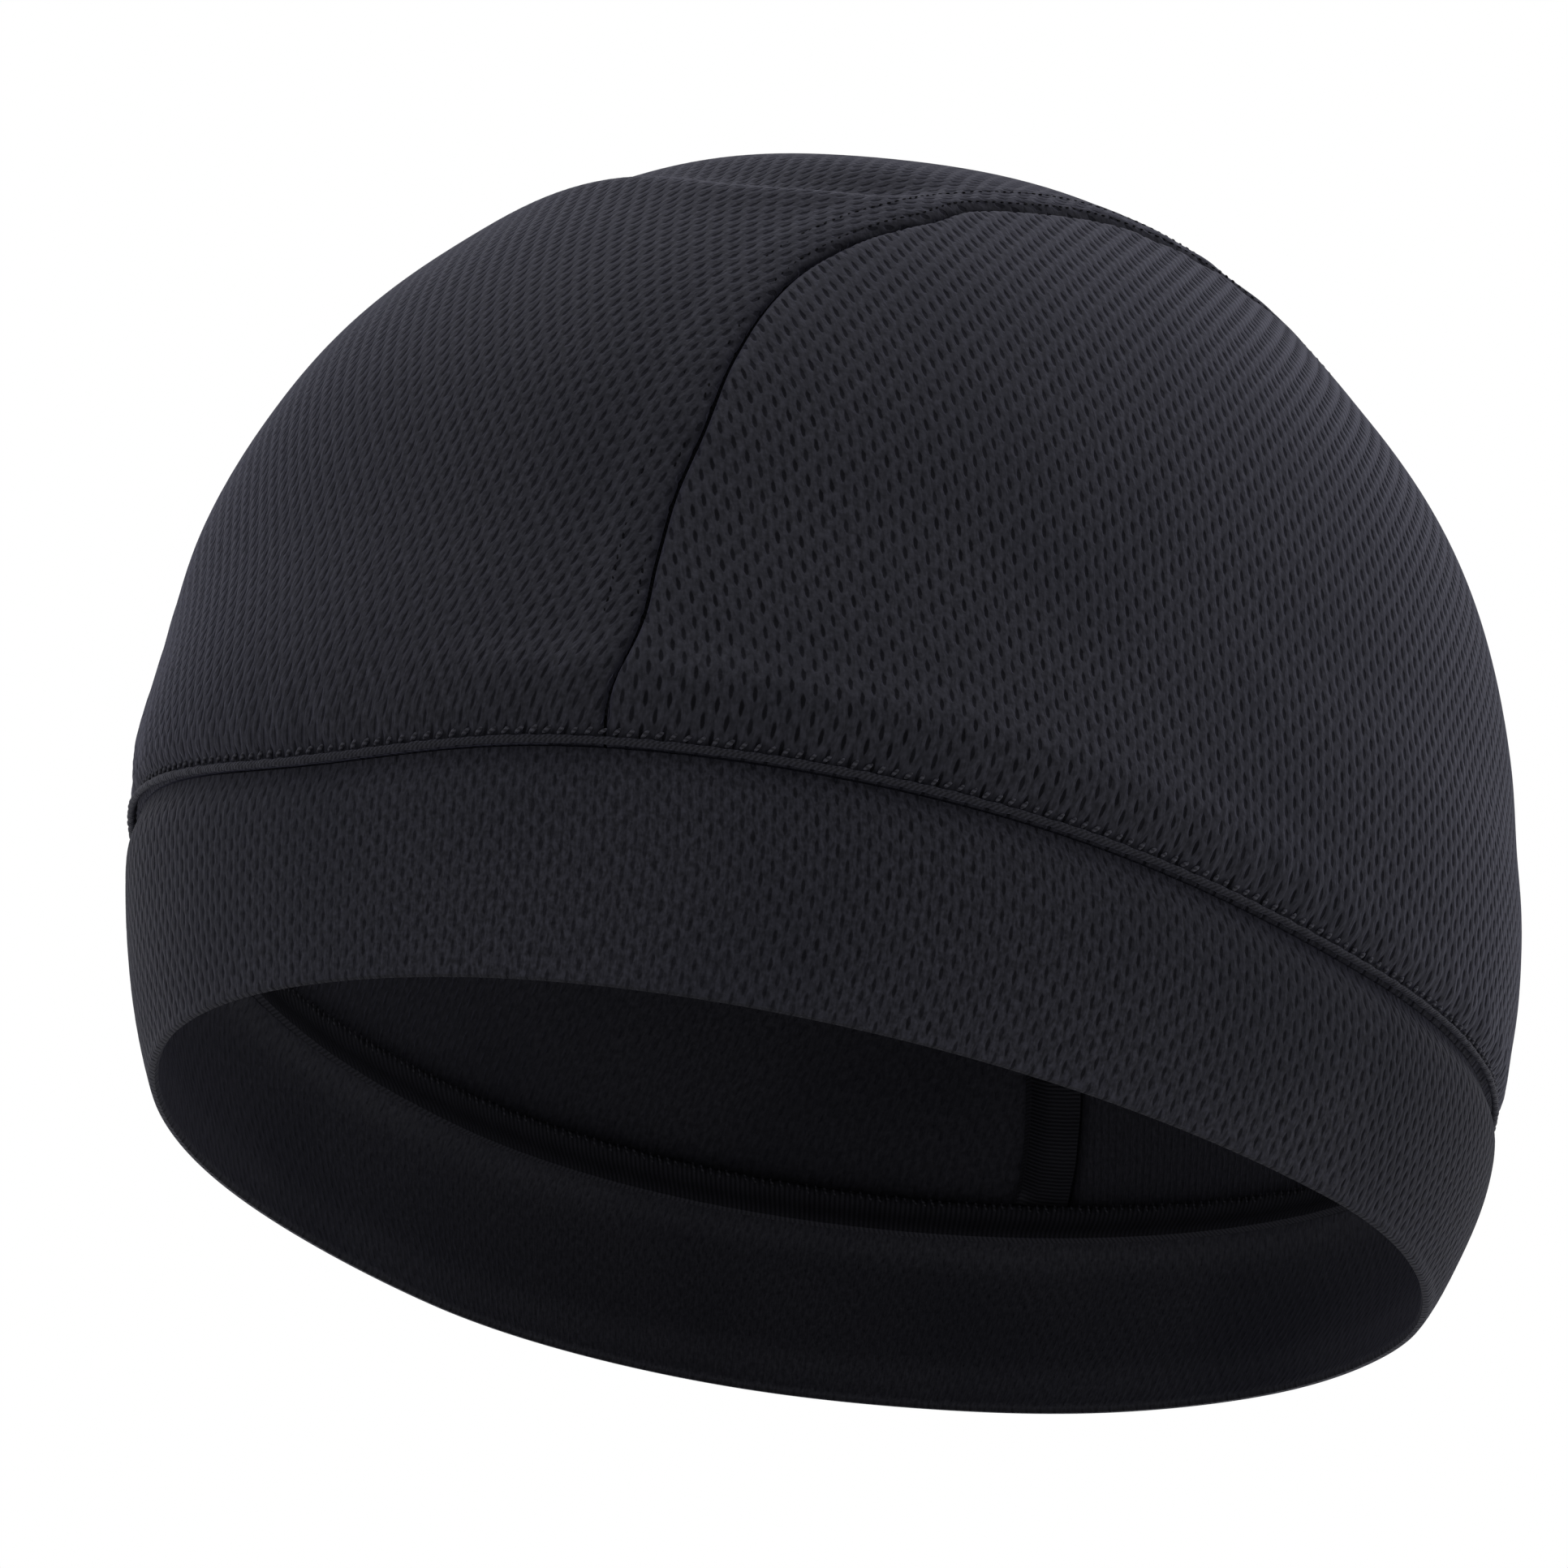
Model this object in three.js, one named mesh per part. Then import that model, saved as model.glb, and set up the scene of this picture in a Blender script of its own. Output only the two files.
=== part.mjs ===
// A close-fitting skull cap of eyelet mesh in the form that it has when worn.
// Three cloth panels make the crown: a centre strip that runs from front to back over the top,
// and a D-shaped panel on each side. A band of doubled cloth closes the bottom. The seams carry
// their allowances inside, and a rolled rib stands in the groove between crown and band.
//
// Millimetres, +Z up, -Y is the wearer's front and +X the wearer's left. The origin is the
// inside of the crown's top, where the head carries the cap.

import * as THREE from 'three';
import { mergeVertices } from 'three/addons/utils/BufferGeometryUtils.js';

// Driving sizes
const CAP_HEIGHT = 143;       // rim to the outside of the crown's top
const BAND_HEIGHT = 26;       // rim to the seam between band and crown
const CROWN_WALL = 1.2;       // one layer of mesh
const BAND_WALL = 2.2;        // the band's cloth is folded double
const GAP = 0.3;              // clearance between sewn pieces
const SEAM_CLEAR = 0.2;       // each panel stops this far from a crown seam, measured along x

// Level sections of the cap: height above the rim, and how far the front, the back and the
// sides reach from the upright axis through the widest part of the head.
const SECTIONS = [
  { height: 0, front: 100.5, back: 67, side: 74 },
  { height: 14, front: 105, back: 73.5, side: 79 },
  { height: 31, front: 110, back: 77.5, side: 80 },
  { height: 54, front: 108.5, back: 80, side: 76.5 },
  { height: 77, front: 104.5, back: 81.5, side: 72 },
  { height: 100, front: 91, back: 77.5, side: 63 },
  { height: 120, front: 69, back: 67.5, side: 49 },
  { height: 134, front: 40.5, back: 54, side: 33.5 },
  { height: CAP_HEIGHT, front: 0, back: 0, side: 0 },
];

// Half width of the centre strip where it meets the band in front, over the top, and behind,
// and how far its middle lies from the head's, towards the wearer's left.
const STRIP = { front: 42.2, top: 41.7, back: 31.7, middle: -1.7 };

// Relief of the cloth, measured outwards from the smooth form.
const BAND_TUCK = { depth: 1.6, width: 2.5 };      // both edges dive into the band's seam
const CROWN_PUFF = { height: 1.0, left: 0.7, peak: 8 };   // the crown swells above that seam
const SEAM_TUCK = { depth: 0.8, width: 1.3 };      // crown seams lie in a narrow groove
const STITCHED_RIDGE = { height: 0.5, from: 1.4, to: 4.6, blend: 0.8 };
const BAND_SWELL = 0.5;                            // the band's middle stands proud of its edges

// A shallow dent across the centre strip, in front of the top. Angles are degrees on the fan
// that is centred on the band's seam, 0 in front and 90 straight up. The crest before the dent
// bends back towards the left seam, and both fade out at the seam.
const DENT = { behind: 6.8, spread: 4, depth: 2.6, centre: 20, reach: 24, fade: 9 };
const DENT_CREST = { angle: 46.8, spread: 3, height: 0.7, bend: 0.03, bendFrom: 20 };

// Places where the cloth lies fuller or tighter than the sections, in front on the wearer's right.
const FULLNESS = [
  { x: -35, y: -95, height: 61, reach: 14, amount: 1.5 },
  { x: -43, y: -93, height: 29, reach: 9, amount: -0.9 },
];

// How far the band's seam lies above or below a level line. Turns are degrees round the cap,
// 0 in front and 90 at the wearer's left. The cloth follows within a reach above and below.
const SEAM_DRIFT = [
  { turn: -40, spread: 24, rise: 5 },
  { turn: 4, spread: 17, rise: -2.3 },
  { turn: 62, spread: 24, rise: 1.5 },
];
const DRIFT_REACH = 16;

// Seam allowances on the inside, and the rolled rib on the outside.
const CROWN_ALLOWANCE = { columns: [6.3, 3.2, 1.4, 0.3], thickness: 1.0, clear: 7 };
const BAND_ALLOWANCE = { below: 0.6, above: 5.6, thickness: 1.3 };
const RIB = { radius: 0.6, rise: 0.4, sink: 0.1, sides: 6 };

// Fineness of the meshes. Distances from a sewn edge are in millimetres, fan angles in degrees.
const AROUND = 64;
const EDGE_STEPS = [0, 1.2, 3, 6.1, 9, 16, 24];
const FAN_STEPS = [0, 0.8, 2, 4, 7, 11, 17, 24, 31, 38, 43, 47, 50.3, 53.6, 57, 61, 66, 74, 83,
  92, 101, 110, 119, 128, 137, 146, 154, 161, 167, 172, 175.5, 178, 179.1, 180];
const PANEL_STEPS = [0, 0.02, 0.05, 0.11, 0.24, 0.4, 0.58, 0.76, 0.88, 0.95, 1];

const TOP_INSIDE = CAP_HEIGHT - CROWN_WALL;
const FAN_HEIGHT = BAND_HEIGHT + GAP / 2;
const DRIFT_TOP = BAND_HEIGHT + 4 * DRIFT_REACH;   // above this the seam's drift is nil
const WIDEST = Math.max(...SECTIONS.map((section) => section.side));
const DEGREES = Math.PI / 180;

// A smooth curve through a table of heights and values, exact where the values follow a circle.
function smoothCurve(heights, values) {
  const last = heights.length - 1;
  const step = heights.slice(1).map((height, i) => height - heights[i]);
  const rise = step.map((width, i) => (values[i + 1] - values[i]) / width);
  const slope = heights.map((_, i) => {
    if (i === 0 || i === last) return 0;
    return (step[i - 1] * rise[i] + step[i] * rise[i - 1]) / (step[i - 1] + step[i]);
  });
  slope[0] = 2 * rise[0] - slope[1];
  slope[last] = 2 * rise[last - 1] - slope[last - 1];
  return (height) => {
    let i = 0;
    while (i < last - 1 && height >= heights[i + 1]) i += 1;
    const t = (height - heights[i]) / step[i];
    const t2 = t * t;
    const t3 = t2 * t;
    return (2 * t3 - 3 * t2 + 1) * values[i] + (t3 - 2 * t2 + t) * step[i] * slope[i]
      + (3 * t2 - 2 * t3) * values[i + 1] + (t3 - t2) * step[i] * slope[i + 1];
  };
}

// The squares of the reaches are joined, so that the top closes in a round dome.
const sectionHeights = SECTIONS.map((section) => section.height);
const squareOf = (name) => smoothCurve(sectionHeights, SECTIONS.map((section) => section[name] ** 2));
const frontSquare = squareOf('front');
const backSquare = squareOf('back');
const sideSquare = squareOf('side');

// Below zero inside the smooth form and above zero outside it. Heights count from the rim.
function formValue(x, y, height) {
  const lengthSquare = y < 0 ? frontSquare(height) : backSquare(height);
  const above = Math.max(0, height - CAP_HEIGHT);
  return x * x / Math.max(sideSquare(height), 1e-3)
    + y * y / Math.max(lengthSquare, 1e-3) - 1 + above;
}

function formNormal(point) {
  const e = 0.2;
  const { x, y, z } = point;
  return new THREE.Vector3(
    formValue(x + e, y, z) - formValue(x - e, y, z),
    formValue(x, y + e, z) - formValue(x, y - e, z),
    formValue(x, y, z + e) - formValue(x, y, z - e),
  ).normalize();
}

// Where a ray from inside the form comes out of it.
function rayPoint(start, direction) {
  let near = 0;
  let far = 170;
  const point = new THREE.Vector3();
  for (let i = 0; i < 40; i += 1) {
    const middle = (near + far) / 2;
    point.copy(direction).multiplyScalar(middle).add(start);
    if (formValue(point.x, point.y, point.z) < 0) near = middle;
    else far = middle;
  }
  return point;
}

// A point of the crown at a given x, on the fan of rays round the line across the band's seam.
function fanPoint(x, angle) {
  const direction = new THREE.Vector3(0, -Math.cos(angle), Math.sin(angle));
  return rayPoint(new THREE.Vector3(x, 0, FAN_HEIGHT), direction);
}

// A point of a level section, with angle 0 in front and a quarter turn at the wearer's left.
function ringPoint(height, angle) {
  const lengthSquare = Math.cos(angle) > 0 ? frontSquare(height) : backSquare(height);
  return new THREE.Vector3(
    Math.sqrt(sideSquare(height)) * Math.sin(angle),
    -Math.sqrt(lengthSquare) * Math.cos(angle),
    height,
  );
}

function stripHalfWidth(angle) {
  const end = angle < Math.PI / 2 ? STRIP.front : STRIP.back;
  return STRIP.top + (end - STRIP.top) * Math.cos(angle) ** 2;
}

const bell = (distance, width) => Math.exp(-((distance / width) ** 2));
const ramp = (value) => THREE.MathUtils.smoothstep(value, 0, 1);

// How far the crown's cloth stands off the smooth form, by its height above the band's seam.
// It swells a little more towards the wearer's left.
function edgeRelief(x, rise) {
  const puff = (rise / CROWN_PUFF.peak) * Math.exp(1 - rise / CROWN_PUFF.peak);
  const height = CROWN_PUFF.height + CROWN_PUFF.left * (Math.max(0, x) / WIDEST) ** 2;
  return height * puff - BAND_TUCK.depth * bell(rise, BAND_TUCK.width);
}

// The two allowances that are stitched down beside the seam raise the strip's edge a little.
function ridgeRelief(distance) {
  const { height, from, to, blend } = STITCHED_RIDGE;
  return height * ramp((distance - from + blend) / blend) * ramp((to + blend - distance) / blend);
}

function dentRelief(x, angle) {
  const across = bell(x - DENT.centre, DENT.reach);
  const bend = DENT_CREST.bend * Math.max(0, x - DENT_CREST.bendFrom) ** 2;
  const past = angle / DEGREES - DENT_CREST.angle - bend;
  const hollow = DENT.depth * bell(past - DENT.behind, DENT.spread);
  const crest = DENT_CREST.height * bell(past, DENT_CREST.spread);
  return across * (crest - hollow);
}

function fullnessRelief(point) {
  return FULLNESS.reduce((sum, { x, y, height, reach, amount }) => {
    const distance = Math.hypot(point.x - x, point.y - y, point.z - height);
    return sum + amount * bell(distance, reach);
  }, 0);
}

const clearOfBand = (rise) => 1 - bell(rise, BAND_TUCK.width);

// Relief of the crown's cloth without its seams and its dent.
function clothRelief(point) {
  const rise = Math.max(0, point.z - FAN_HEIGHT);
  return edgeRelief(point.x, rise) + fullnessRelief(point) * clearOfBand(rise);
}

// Relief of the whole crown at a point of the smooth form.
function crownRelief(point) {
  const rise = point.z - FAN_HEIGHT;
  const angle = Math.atan2(rise, -point.y);
  const distance = stripHalfWidth(angle) - Math.abs(point.x - STRIP.middle);
  const seam = -SEAM_TUCK.depth * bell(distance, SEAM_TUCK.width);
  const dent = dentRelief(point.x, angle) * ramp(distance / DENT.fade);
  return clothRelief(point) + (seam + ridgeRelief(distance) + dent) * clearOfBand(rise);
}

// Slides a point of the smooth form up or down on it, the way that the band's seam drifts.
function drifted(point) {
  const lengthSquare = point.y < 0 ? frontSquare : backSquare;
  const across = point.x / Math.sqrt(sideSquare(point.z));
  const along = point.y / Math.sqrt(lengthSquare(point.z));
  const turn = Math.atan2(across, -along) / DEGREES;
  const share = bell(point.z - BAND_HEIGHT, DRIFT_REACH);
  const slide = SEAM_DRIFT.reduce((sum, row) => sum + row.rise * bell(turn - row.turn, row.spread), 0);
  const height = point.z + slide * share;
  return new THREE.Vector3(
    across * Math.sqrt(sideSquare(height)),
    along * Math.sqrt(lengthSquare(height)),
    height,
  );
}

// Moves a point of the smooth form along its normal, and into the part's own frame.
function offForm(point, offset) {
  const foot = point.z < DRIFT_TOP ? drifted(point) : point;
  const placed = foot.clone().addScaledVector(formNormal(foot), offset);
  placed.z -= TOP_INSIDE;
  return placed;
}

const crownSkin = (point, depth) => offForm(point, crownRelief(point) - depth);

// Adds the two triangles of a quad, and leaves out one that has shrunk to a line.
function addQuad(triangles, a, b, c, d) {
  for (const [p, q, r] of [[a, b, c], [a, c, d]]) {
    const doubled = q.clone().sub(p).cross(r.clone().sub(p)).length();
    if (doubled > 1e-6) triangles.push(p, q, r);
  }
}

function solidGeometry(triangles) {
  const positions = triangles.flatMap((point) => [point.x, point.y, point.z]);
  const geometry = new THREE.BufferGeometry();
  geometry.setAttribute('position', new THREE.Float32BufferAttribute(positions, 3));
  const merged = mergeVertices(geometry, 1e-4);
  merged.computeVertexNormals();
  return merged;
}

// Closes a solid between an outer and an inner grid of points, both with the same rows.
function wallGeometry(outer, inner) {
  const triangles = [];
  const rows = outer.length - 1;
  const columns = outer[0].length - 1;
  for (let i = 0; i < rows; i += 1) {
    for (let j = 0; j < columns; j += 1) {
      addQuad(triangles, outer[i][j], outer[i][j + 1], outer[i + 1][j + 1], outer[i + 1][j]);
      addQuad(triangles, inner[i][j], inner[i + 1][j], inner[i + 1][j + 1], inner[i][j + 1]);
    }
    addQuad(triangles, outer[i][0], outer[i + 1][0], inner[i + 1][0], inner[i][0]);
    addQuad(triangles, outer[i][columns], inner[i][columns], inner[i + 1][columns],
      outer[i + 1][columns]);
  }
  for (let j = 0; j < columns; j += 1) {
    addQuad(triangles, outer[0][j], inner[0][j], inner[0][j + 1], outer[0][j + 1]);
    addQuad(triangles, outer[rows][j], outer[rows][j + 1], inner[rows][j + 1], inner[rows][j]);
  }
  return solidGeometry(triangles);
}

// Closes a ring whose section is a loop of points at every angle.
function ringGeometry(sections) {
  const triangles = [];
  sections.forEach((section, i) => {
    const next = sections[(i + 1) % sections.length];
    section.forEach((point, k) => {
      const after = (k + 1) % section.length;
      addQuad(triangles, point, section[after], next[after], next[k]);
    });
  });
  return solidGeometry(triangles);
}

// Distances across the centre strip, from one seam to the other, closer together at the seams.
function stripColumns(halfWidth) {
  const edge = halfWidth - SEAM_CLEAR;
  const right = EDGE_STEPS.map((distance) => -(edge - distance));
  const columns = [...right, 0, ...right.map((x) => -x).reverse()];
  return columns.map((x) => x + STRIP.middle);
}

function centrePanel() {
  const fan = FAN_STEPS.map((degrees) => degrees * DEGREES);
  const points = fan.map((angle) => stripColumns(stripHalfWidth(angle)).map((x) => fanPoint(x, angle)));
  const outer = points.map((row) => row.map((point) => crownSkin(point, 0)));
  const inner = points.map((row) => row.map((point) => crownSkin(point, CROWN_WALL)));
  return wallGeometry(outer, inner);
}

// A side panel spans from the curved seam to its straight edge on the band. Between them the
// rays from the middle of the band's seam turn evenly.
function sidePanel(side) {
  const centre = new THREE.Vector3(0, 0, FAN_HEIGHT);
  const halfWidth = (angle) => stripHalfWidth(angle) + side * STRIP.middle + SEAM_CLEAR;
  const widest = Math.sqrt(sideSquare(FAN_HEIGHT));
  const first = Math.asin(halfWidth(0) / widest);
  const last = Math.PI - Math.asin(halfWidth(Math.PI) / widest);
  const grid = FAN_STEPS.map((degrees) => {
    const angle = degrees * DEGREES;
    const share = degrees / 180;
    const seam = fanPoint(halfWidth(angle), angle);
    const base = ringPoint(FAN_HEIGHT, first + (last - first) * share);
    const upper = seam.sub(centre).normalize();
    const lower = base.sub(centre).normalize();
    return PANEL_STEPS.map((step) => {
      const direction = upper.clone().lerp(lower, step).normalize();
      return rayPoint(centre, direction);
    });
  });
  const placed = grid.map((row) => row.map(({ x, y, z }) => new THREE.Vector3(side * x, y, z)));
  const rows = side > 0 ? placed : placed.reverse();
  const outer = rows.map((row) => row.map((point) => crownSkin(point, 0)));
  const inner = rows.map((row) => row.map((point) => crownSkin(point, CROWN_WALL)));
  return wallGeometry(outer, inner);
}

const ringAngles = Array.from({ length: AROUND }, (_, i) => (i / AROUND) * 2 * Math.PI);

// The band's section runs down the outside, round the folded edge and up the inside.
function bandRing() {
  const top = BAND_HEIGHT - GAP / 2;
  const fold = BAND_WALL / 2;
  const swell = (height) => BAND_SWELL * Math.sin(Math.PI * (height / top))
    - BAND_TUCK.depth * bell(top - height, BAND_TUCK.width);
  const outside = [top, top - 1.4, top - 3.4, top - 7, top - 13, fold + 5, fold];
  const section = [
    ...outside.map((height) => ({ height, offset: swell(height) })),
    ...[45, 90, 135].map((degrees) => ({
      height: fold * (1 - Math.sin(degrees * DEGREES)),
      offset: -fold * (1 - Math.cos(degrees * DEGREES)),
    })),
    ...outside.slice().reverse().map((height) => ({ height, offset: swell(height) - BAND_WALL })),
  ];
  return ringGeometry(ringAngles.map((angle) => section.map(({ height, offset }) => (
    offForm(ringPoint(height, angle), offset)
  ))));
}

// The rolled edge of the sewn layers, lying in the groove on the outside.
function ribRing() {
  const height = BAND_HEIGHT + RIB.rise;
  const turns = Array.from({ length: RIB.sides }, (_, k) => (k / RIB.sides) * 2 * Math.PI);
  return ringGeometry(ringAngles.map((angle) => turns.map((turn) => {
    const point = ringPoint(height - RIB.radius * Math.sin(turn), angle);
    return offForm(point, RIB.radius * Math.cos(turn) - RIB.sink);
  })));
}

// The overlocked edges of band and crown, turned up against the inside of the crown.
function bandAllowanceRing() {
  const { below, above, thickness } = BAND_ALLOWANCE;
  const heights = [above, above * 0.4, -below];
  const depth = BAND_WALL + GAP;
  const section = [
    ...heights.map((rise) => ({ rise, sunk: depth })),
    ...heights.slice().reverse().map((rise) => ({ rise, sunk: depth + thickness })),
  ];
  return ringGeometry(ringAngles.map((angle) => section.map(({ rise, sunk }) => {
    const point = ringPoint(FAN_HEIGHT + rise, angle);
    return offForm(point, clothRelief(point) - sunk);
  })));
}

// The allowance of a crown seam, pressed towards the centre strip on the inside.
function crownAllowance(side) {
  const { columns, thickness, clear } = CROWN_ALLOWANCE;
  const seamReach = (angle) => stripHalfWidth(angle) + side * STRIP.middle;
  const angles = FAN_STEPS.map((degrees) => degrees * DEGREES)
    .filter((angle) => fanPoint(seamReach(angle), angle).z > FAN_HEIGHT + clear);
  const rows = angles.map((angle) => columns.map((distance) => (
    fanPoint(side * (seamReach(angle) - distance), angle)
  )));
  const ordered = side > 0 ? rows : rows.reverse();
  const depth = CROWN_WALL + GAP;
  const outer = ordered.map((row) => row.map((point) => crownSkin(point, depth)));
  const inner = ordered.map((row) => row.map((point) => crownSkin(point, depth + thickness)));
  return wallGeometry(outer, inner);
}

const mesh = new THREE.MeshStandardMaterial({ color: '#26262c', roughness: 0.86, metalness: 0 });
const bandMesh = new THREE.MeshStandardMaterial({ color: '#25252b', roughness: 0.84, metalness: 0 });
const rolledEdge = new THREE.MeshStandardMaterial({ color: '#2a2a31', roughness: 0.8, metalness: 0 });
const overlock = new THREE.MeshStandardMaterial({ color: '#1e1e23', roughness: 0.9, metalness: 0 });

const cap = new THREE.Group();

function addPiece(name, geometry, material) {
  const piece = new THREE.Mesh(geometry, material);
  piece.name = name;
  cap.add(piece);
}

addPiece('crown_centre_panel', centrePanel(), mesh);
addPiece('crown_left_panel', sidePanel(1), mesh);
addPiece('crown_right_panel', sidePanel(-1), mesh);
addPiece('band', bandRing(), bandMesh);
addPiece('band_seam_rib', ribRing(), rolledEdge);
addPiece('band_seam_allowance', bandAllowanceRing(), overlock);
addPiece('left_seam_allowance', crownAllowance(1), overlock);
addPiece('right_seam_allowance', crownAllowance(-1), overlock);

export default cap;
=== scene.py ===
"""A close-fitting skull cap of eyelet mesh, dressed on the frame of its solids.

Every cloth piece is cut flat from a lattice of eyelets, bent onto the form that the cap has
when worn, and given its wall. The rolled rib, the allowances inside and the rows of stitches
follow the same form. Lengths are millimetres and heights count from the rim, except in the
finishes and the studio, which are in metres.
"""

import logging
import math
from collections.abc import Callable
from dataclasses import dataclass
from enum import Enum
from typing import Union

import bpy
import numpy as np
from mathutils import Matrix, Vector


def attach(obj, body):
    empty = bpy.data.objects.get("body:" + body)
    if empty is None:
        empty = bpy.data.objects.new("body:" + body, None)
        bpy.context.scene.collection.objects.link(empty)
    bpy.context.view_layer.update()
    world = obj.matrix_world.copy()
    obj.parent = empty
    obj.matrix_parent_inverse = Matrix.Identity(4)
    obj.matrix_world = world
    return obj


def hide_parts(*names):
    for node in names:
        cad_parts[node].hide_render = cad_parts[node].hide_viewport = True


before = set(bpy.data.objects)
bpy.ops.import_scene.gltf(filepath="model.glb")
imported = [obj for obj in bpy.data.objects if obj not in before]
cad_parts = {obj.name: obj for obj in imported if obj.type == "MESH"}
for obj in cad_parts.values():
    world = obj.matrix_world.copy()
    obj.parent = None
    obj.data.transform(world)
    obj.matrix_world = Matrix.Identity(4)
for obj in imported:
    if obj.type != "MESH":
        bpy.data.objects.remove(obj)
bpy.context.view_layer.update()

logging.basicConfig(level=logging.INFO, format="%(message)s")
log = logging.getLogger("cap")

Array = np.ndarray
Ease = tuple[float, float]

# The driving sizes
MM = 0.001
TURN = 2 * math.pi
CAP_HEIGHT = 143.0
CROWN_WALL = 1.2
BAND_WALL = 2.2
BAND_HEIGHT = 26.0
GAP = 0.3
CLOTH_CLEAR = 0.19
TOP_INSIDE = CAP_HEIGHT - CROWN_WALL
FAN_HEIGHT = BAND_HEIGHT + GAP / 2
BAND_TOP = BAND_HEIGHT - GAP / 2

# About how far a radian goes along the cloth, round the cap and on the fan
LEVEL_RADIUS = 90.0
FAN_RADIUS = 92.0

# Where the wearer's left begins, along x, and how gently
LEFT_FRONT: Ease = (12.0, 24.0)

HALVINGS = 26
SEED = 7


class Side(Enum):
    """The wearer's two sides, with the sign of x there."""

    LEFT = 1
    RIGHT = -1


class Slot(Enum):
    """The part's material slots."""

    CROWN = "crown_mesh"
    BAND = "band_mesh"
    ROLL = "rolled_edge"
    OVERLOCK = "overlocked_edge"


# Curves


def bell(distance: Array, width: float) -> Array:
    """A smooth bump of height 1 that fades over a width."""
    return np.exp(-((distance / width) ** 2))


def ramp(value: Array, start: float = 0.0, length: float = 1.0) -> Array:
    """A smooth step from 0 at the start to 1 a length on, or back if the length is negative."""
    share = np.clip((value - start) / length, 0.0, 1.0)
    return share * share * (3 - 2 * share)


def lengths_along(points: Array) -> Array:
    """The distance run along a polyline at each of its points."""
    steps = np.linalg.norm(np.diff(points, axis=0), axis=1)
    return np.concatenate([[0.0], np.cumsum(steps)])


def last_inside(inside: Callable[[Array], Array], near: Array, far: Array) -> Array:
    """Halves spans until they close on the places where a test stops being true.

    Args:
        inside: The test, of one place in each span.
        near: Where each span starts, with the test true.
        far: Where each span ends, with the test false.

    Returns:
        The last place of each span with the test true.
    """
    for _ in range(HALVINGS):
        middle = (near + far) / 2
        held = inside(middle)
        near = np.where(held, middle, near)
        far = np.where(held, far, middle)
    return near


class SmoothCurve:
    """A smooth curve through a table, exact where the values follow a circle."""

    def __init__(self, places: tuple[float, ...], values: tuple[float, ...]) -> None:
        """Finds the slope at each row.

        Args:
            places: Where the curve is known, in rising order.
            values: Its values there.
        """
        self.places = np.asarray(places, float)
        self.values = np.asarray(values, float)
        self.step = np.diff(self.places)
        rise = np.diff(self.values) / self.step
        self.slope = np.empty_like(self.values)
        both = self.step[:-1] + self.step[1:]
        self.slope[1:-1] = (self.step[:-1] * rise[1:] + self.step[1:] * rise[:-1]) / both
        self.slope[0] = 2 * rise[0] - self.slope[1]
        self.slope[-1] = 2 * rise[-1] - self.slope[-2]

    def __call__(self, place: Array) -> Array:
        """Reads the curve.

        Args:
            place: Where, in any order.

        Returns:
            The values there.
        """
        i = np.searchsorted(self.places, place, side="right") - 1
        i = np.clip(i, 0, len(self.step) - 1)
        h = self.step[i]
        t = (place - self.places[i]) / h
        t2, t3 = t * t, t * t * t
        start = (2 * t3 - 3 * t2 + 1) * self.values[i] + (t3 - 2 * t2 + t) * h * self.slope[i]
        end = (3 * t2 - 2 * t3) * self.values[i + 1] + (t3 - t2) * h * self.slope[i + 1]
        return start + end


# The worn form


@dataclass(frozen=True)
class Section:
    """A level section: how far the front, the back and the sides reach from the axis."""

    height: float
    front: float
    back: float
    side: float


SECTIONS = (
    Section(0, 100.5, 67, 74),
    Section(14, 105, 73.5, 79),
    Section(31, 110, 77.5, 80),
    Section(54, 108.5, 80, 76.5),
    Section(77, 104.5, 81.5, 72),
    Section(100, 91, 77.5, 63),
    Section(120, 69, 67.5, 49),
    Section(134, 40.5, 54, 33.5),
    Section(CAP_HEIGHT, 0, 0, 0),
)


@dataclass(frozen=True)
class Fullness:
    """A place where the cloth lies fuller, or tighter, than the sections."""

    place: tuple[float, float, float]
    reach: float
    amount: float


FULLNESS = (
    Fullness((-35, -95, 61), 14, 1.5),
    Fullness((-43, -93, 29), 9, -0.9),
)


@dataclass(frozen=True)
class Swell:
    """A rise of the cloth across a line, or a hollow where its height is below zero."""

    place: float
    width: float
    height: float

    def at(self, value: Array) -> Array:
        """How high the cloth lies at places across the line."""
        return self.height * bell(value - self.place, self.width)


# Degrees round the cap, 0 in front and 90 at the wearer's left, where the band's seam strays
SEAM_DRIFT = (Swell(-40, 24, 5), Swell(4, 17, -2.3), Swell(62, 24, 1.5))

# Degrees past the crest in front of the top: the crest, its sharper lip and the dent
DENT = (Swell(0, 3.0, 0.7), Swell(0.3, 1.5, 0.35), Swell(6.8, 4.0, -2.6))

# Heights at the wearer's left, where the crown hangs fuller and draws in the seam below
LEFT_FALL = (Swell(54, 9, 0.8), Swell(33, 8, -1.3))

# Degrees on the fan, and how far the sewn seams stray from an even line there
SEAM_WANDER = SmoothCurve(*zip(
    (0, -1.6), (2, -1.4), (4, -0.9), (6, -0.2), (9, 0.4), (14, 0.0), (18.5, -0.2), (26, 0.5),
    (32, 0.0), (38, -0.6), (42, -0.8), (46, -0.5), (52, 0.1), (56, 0.5), (61, -0.3), (68, 0.2),
    (76, -0.3), (86, 0.3), (95, -0.2), (106, 0.3), (118, -0.3), (130, 0.2), (142, -0.4),
    (155, 0.3), (168, -0.2), (180, 0.3),
))


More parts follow.
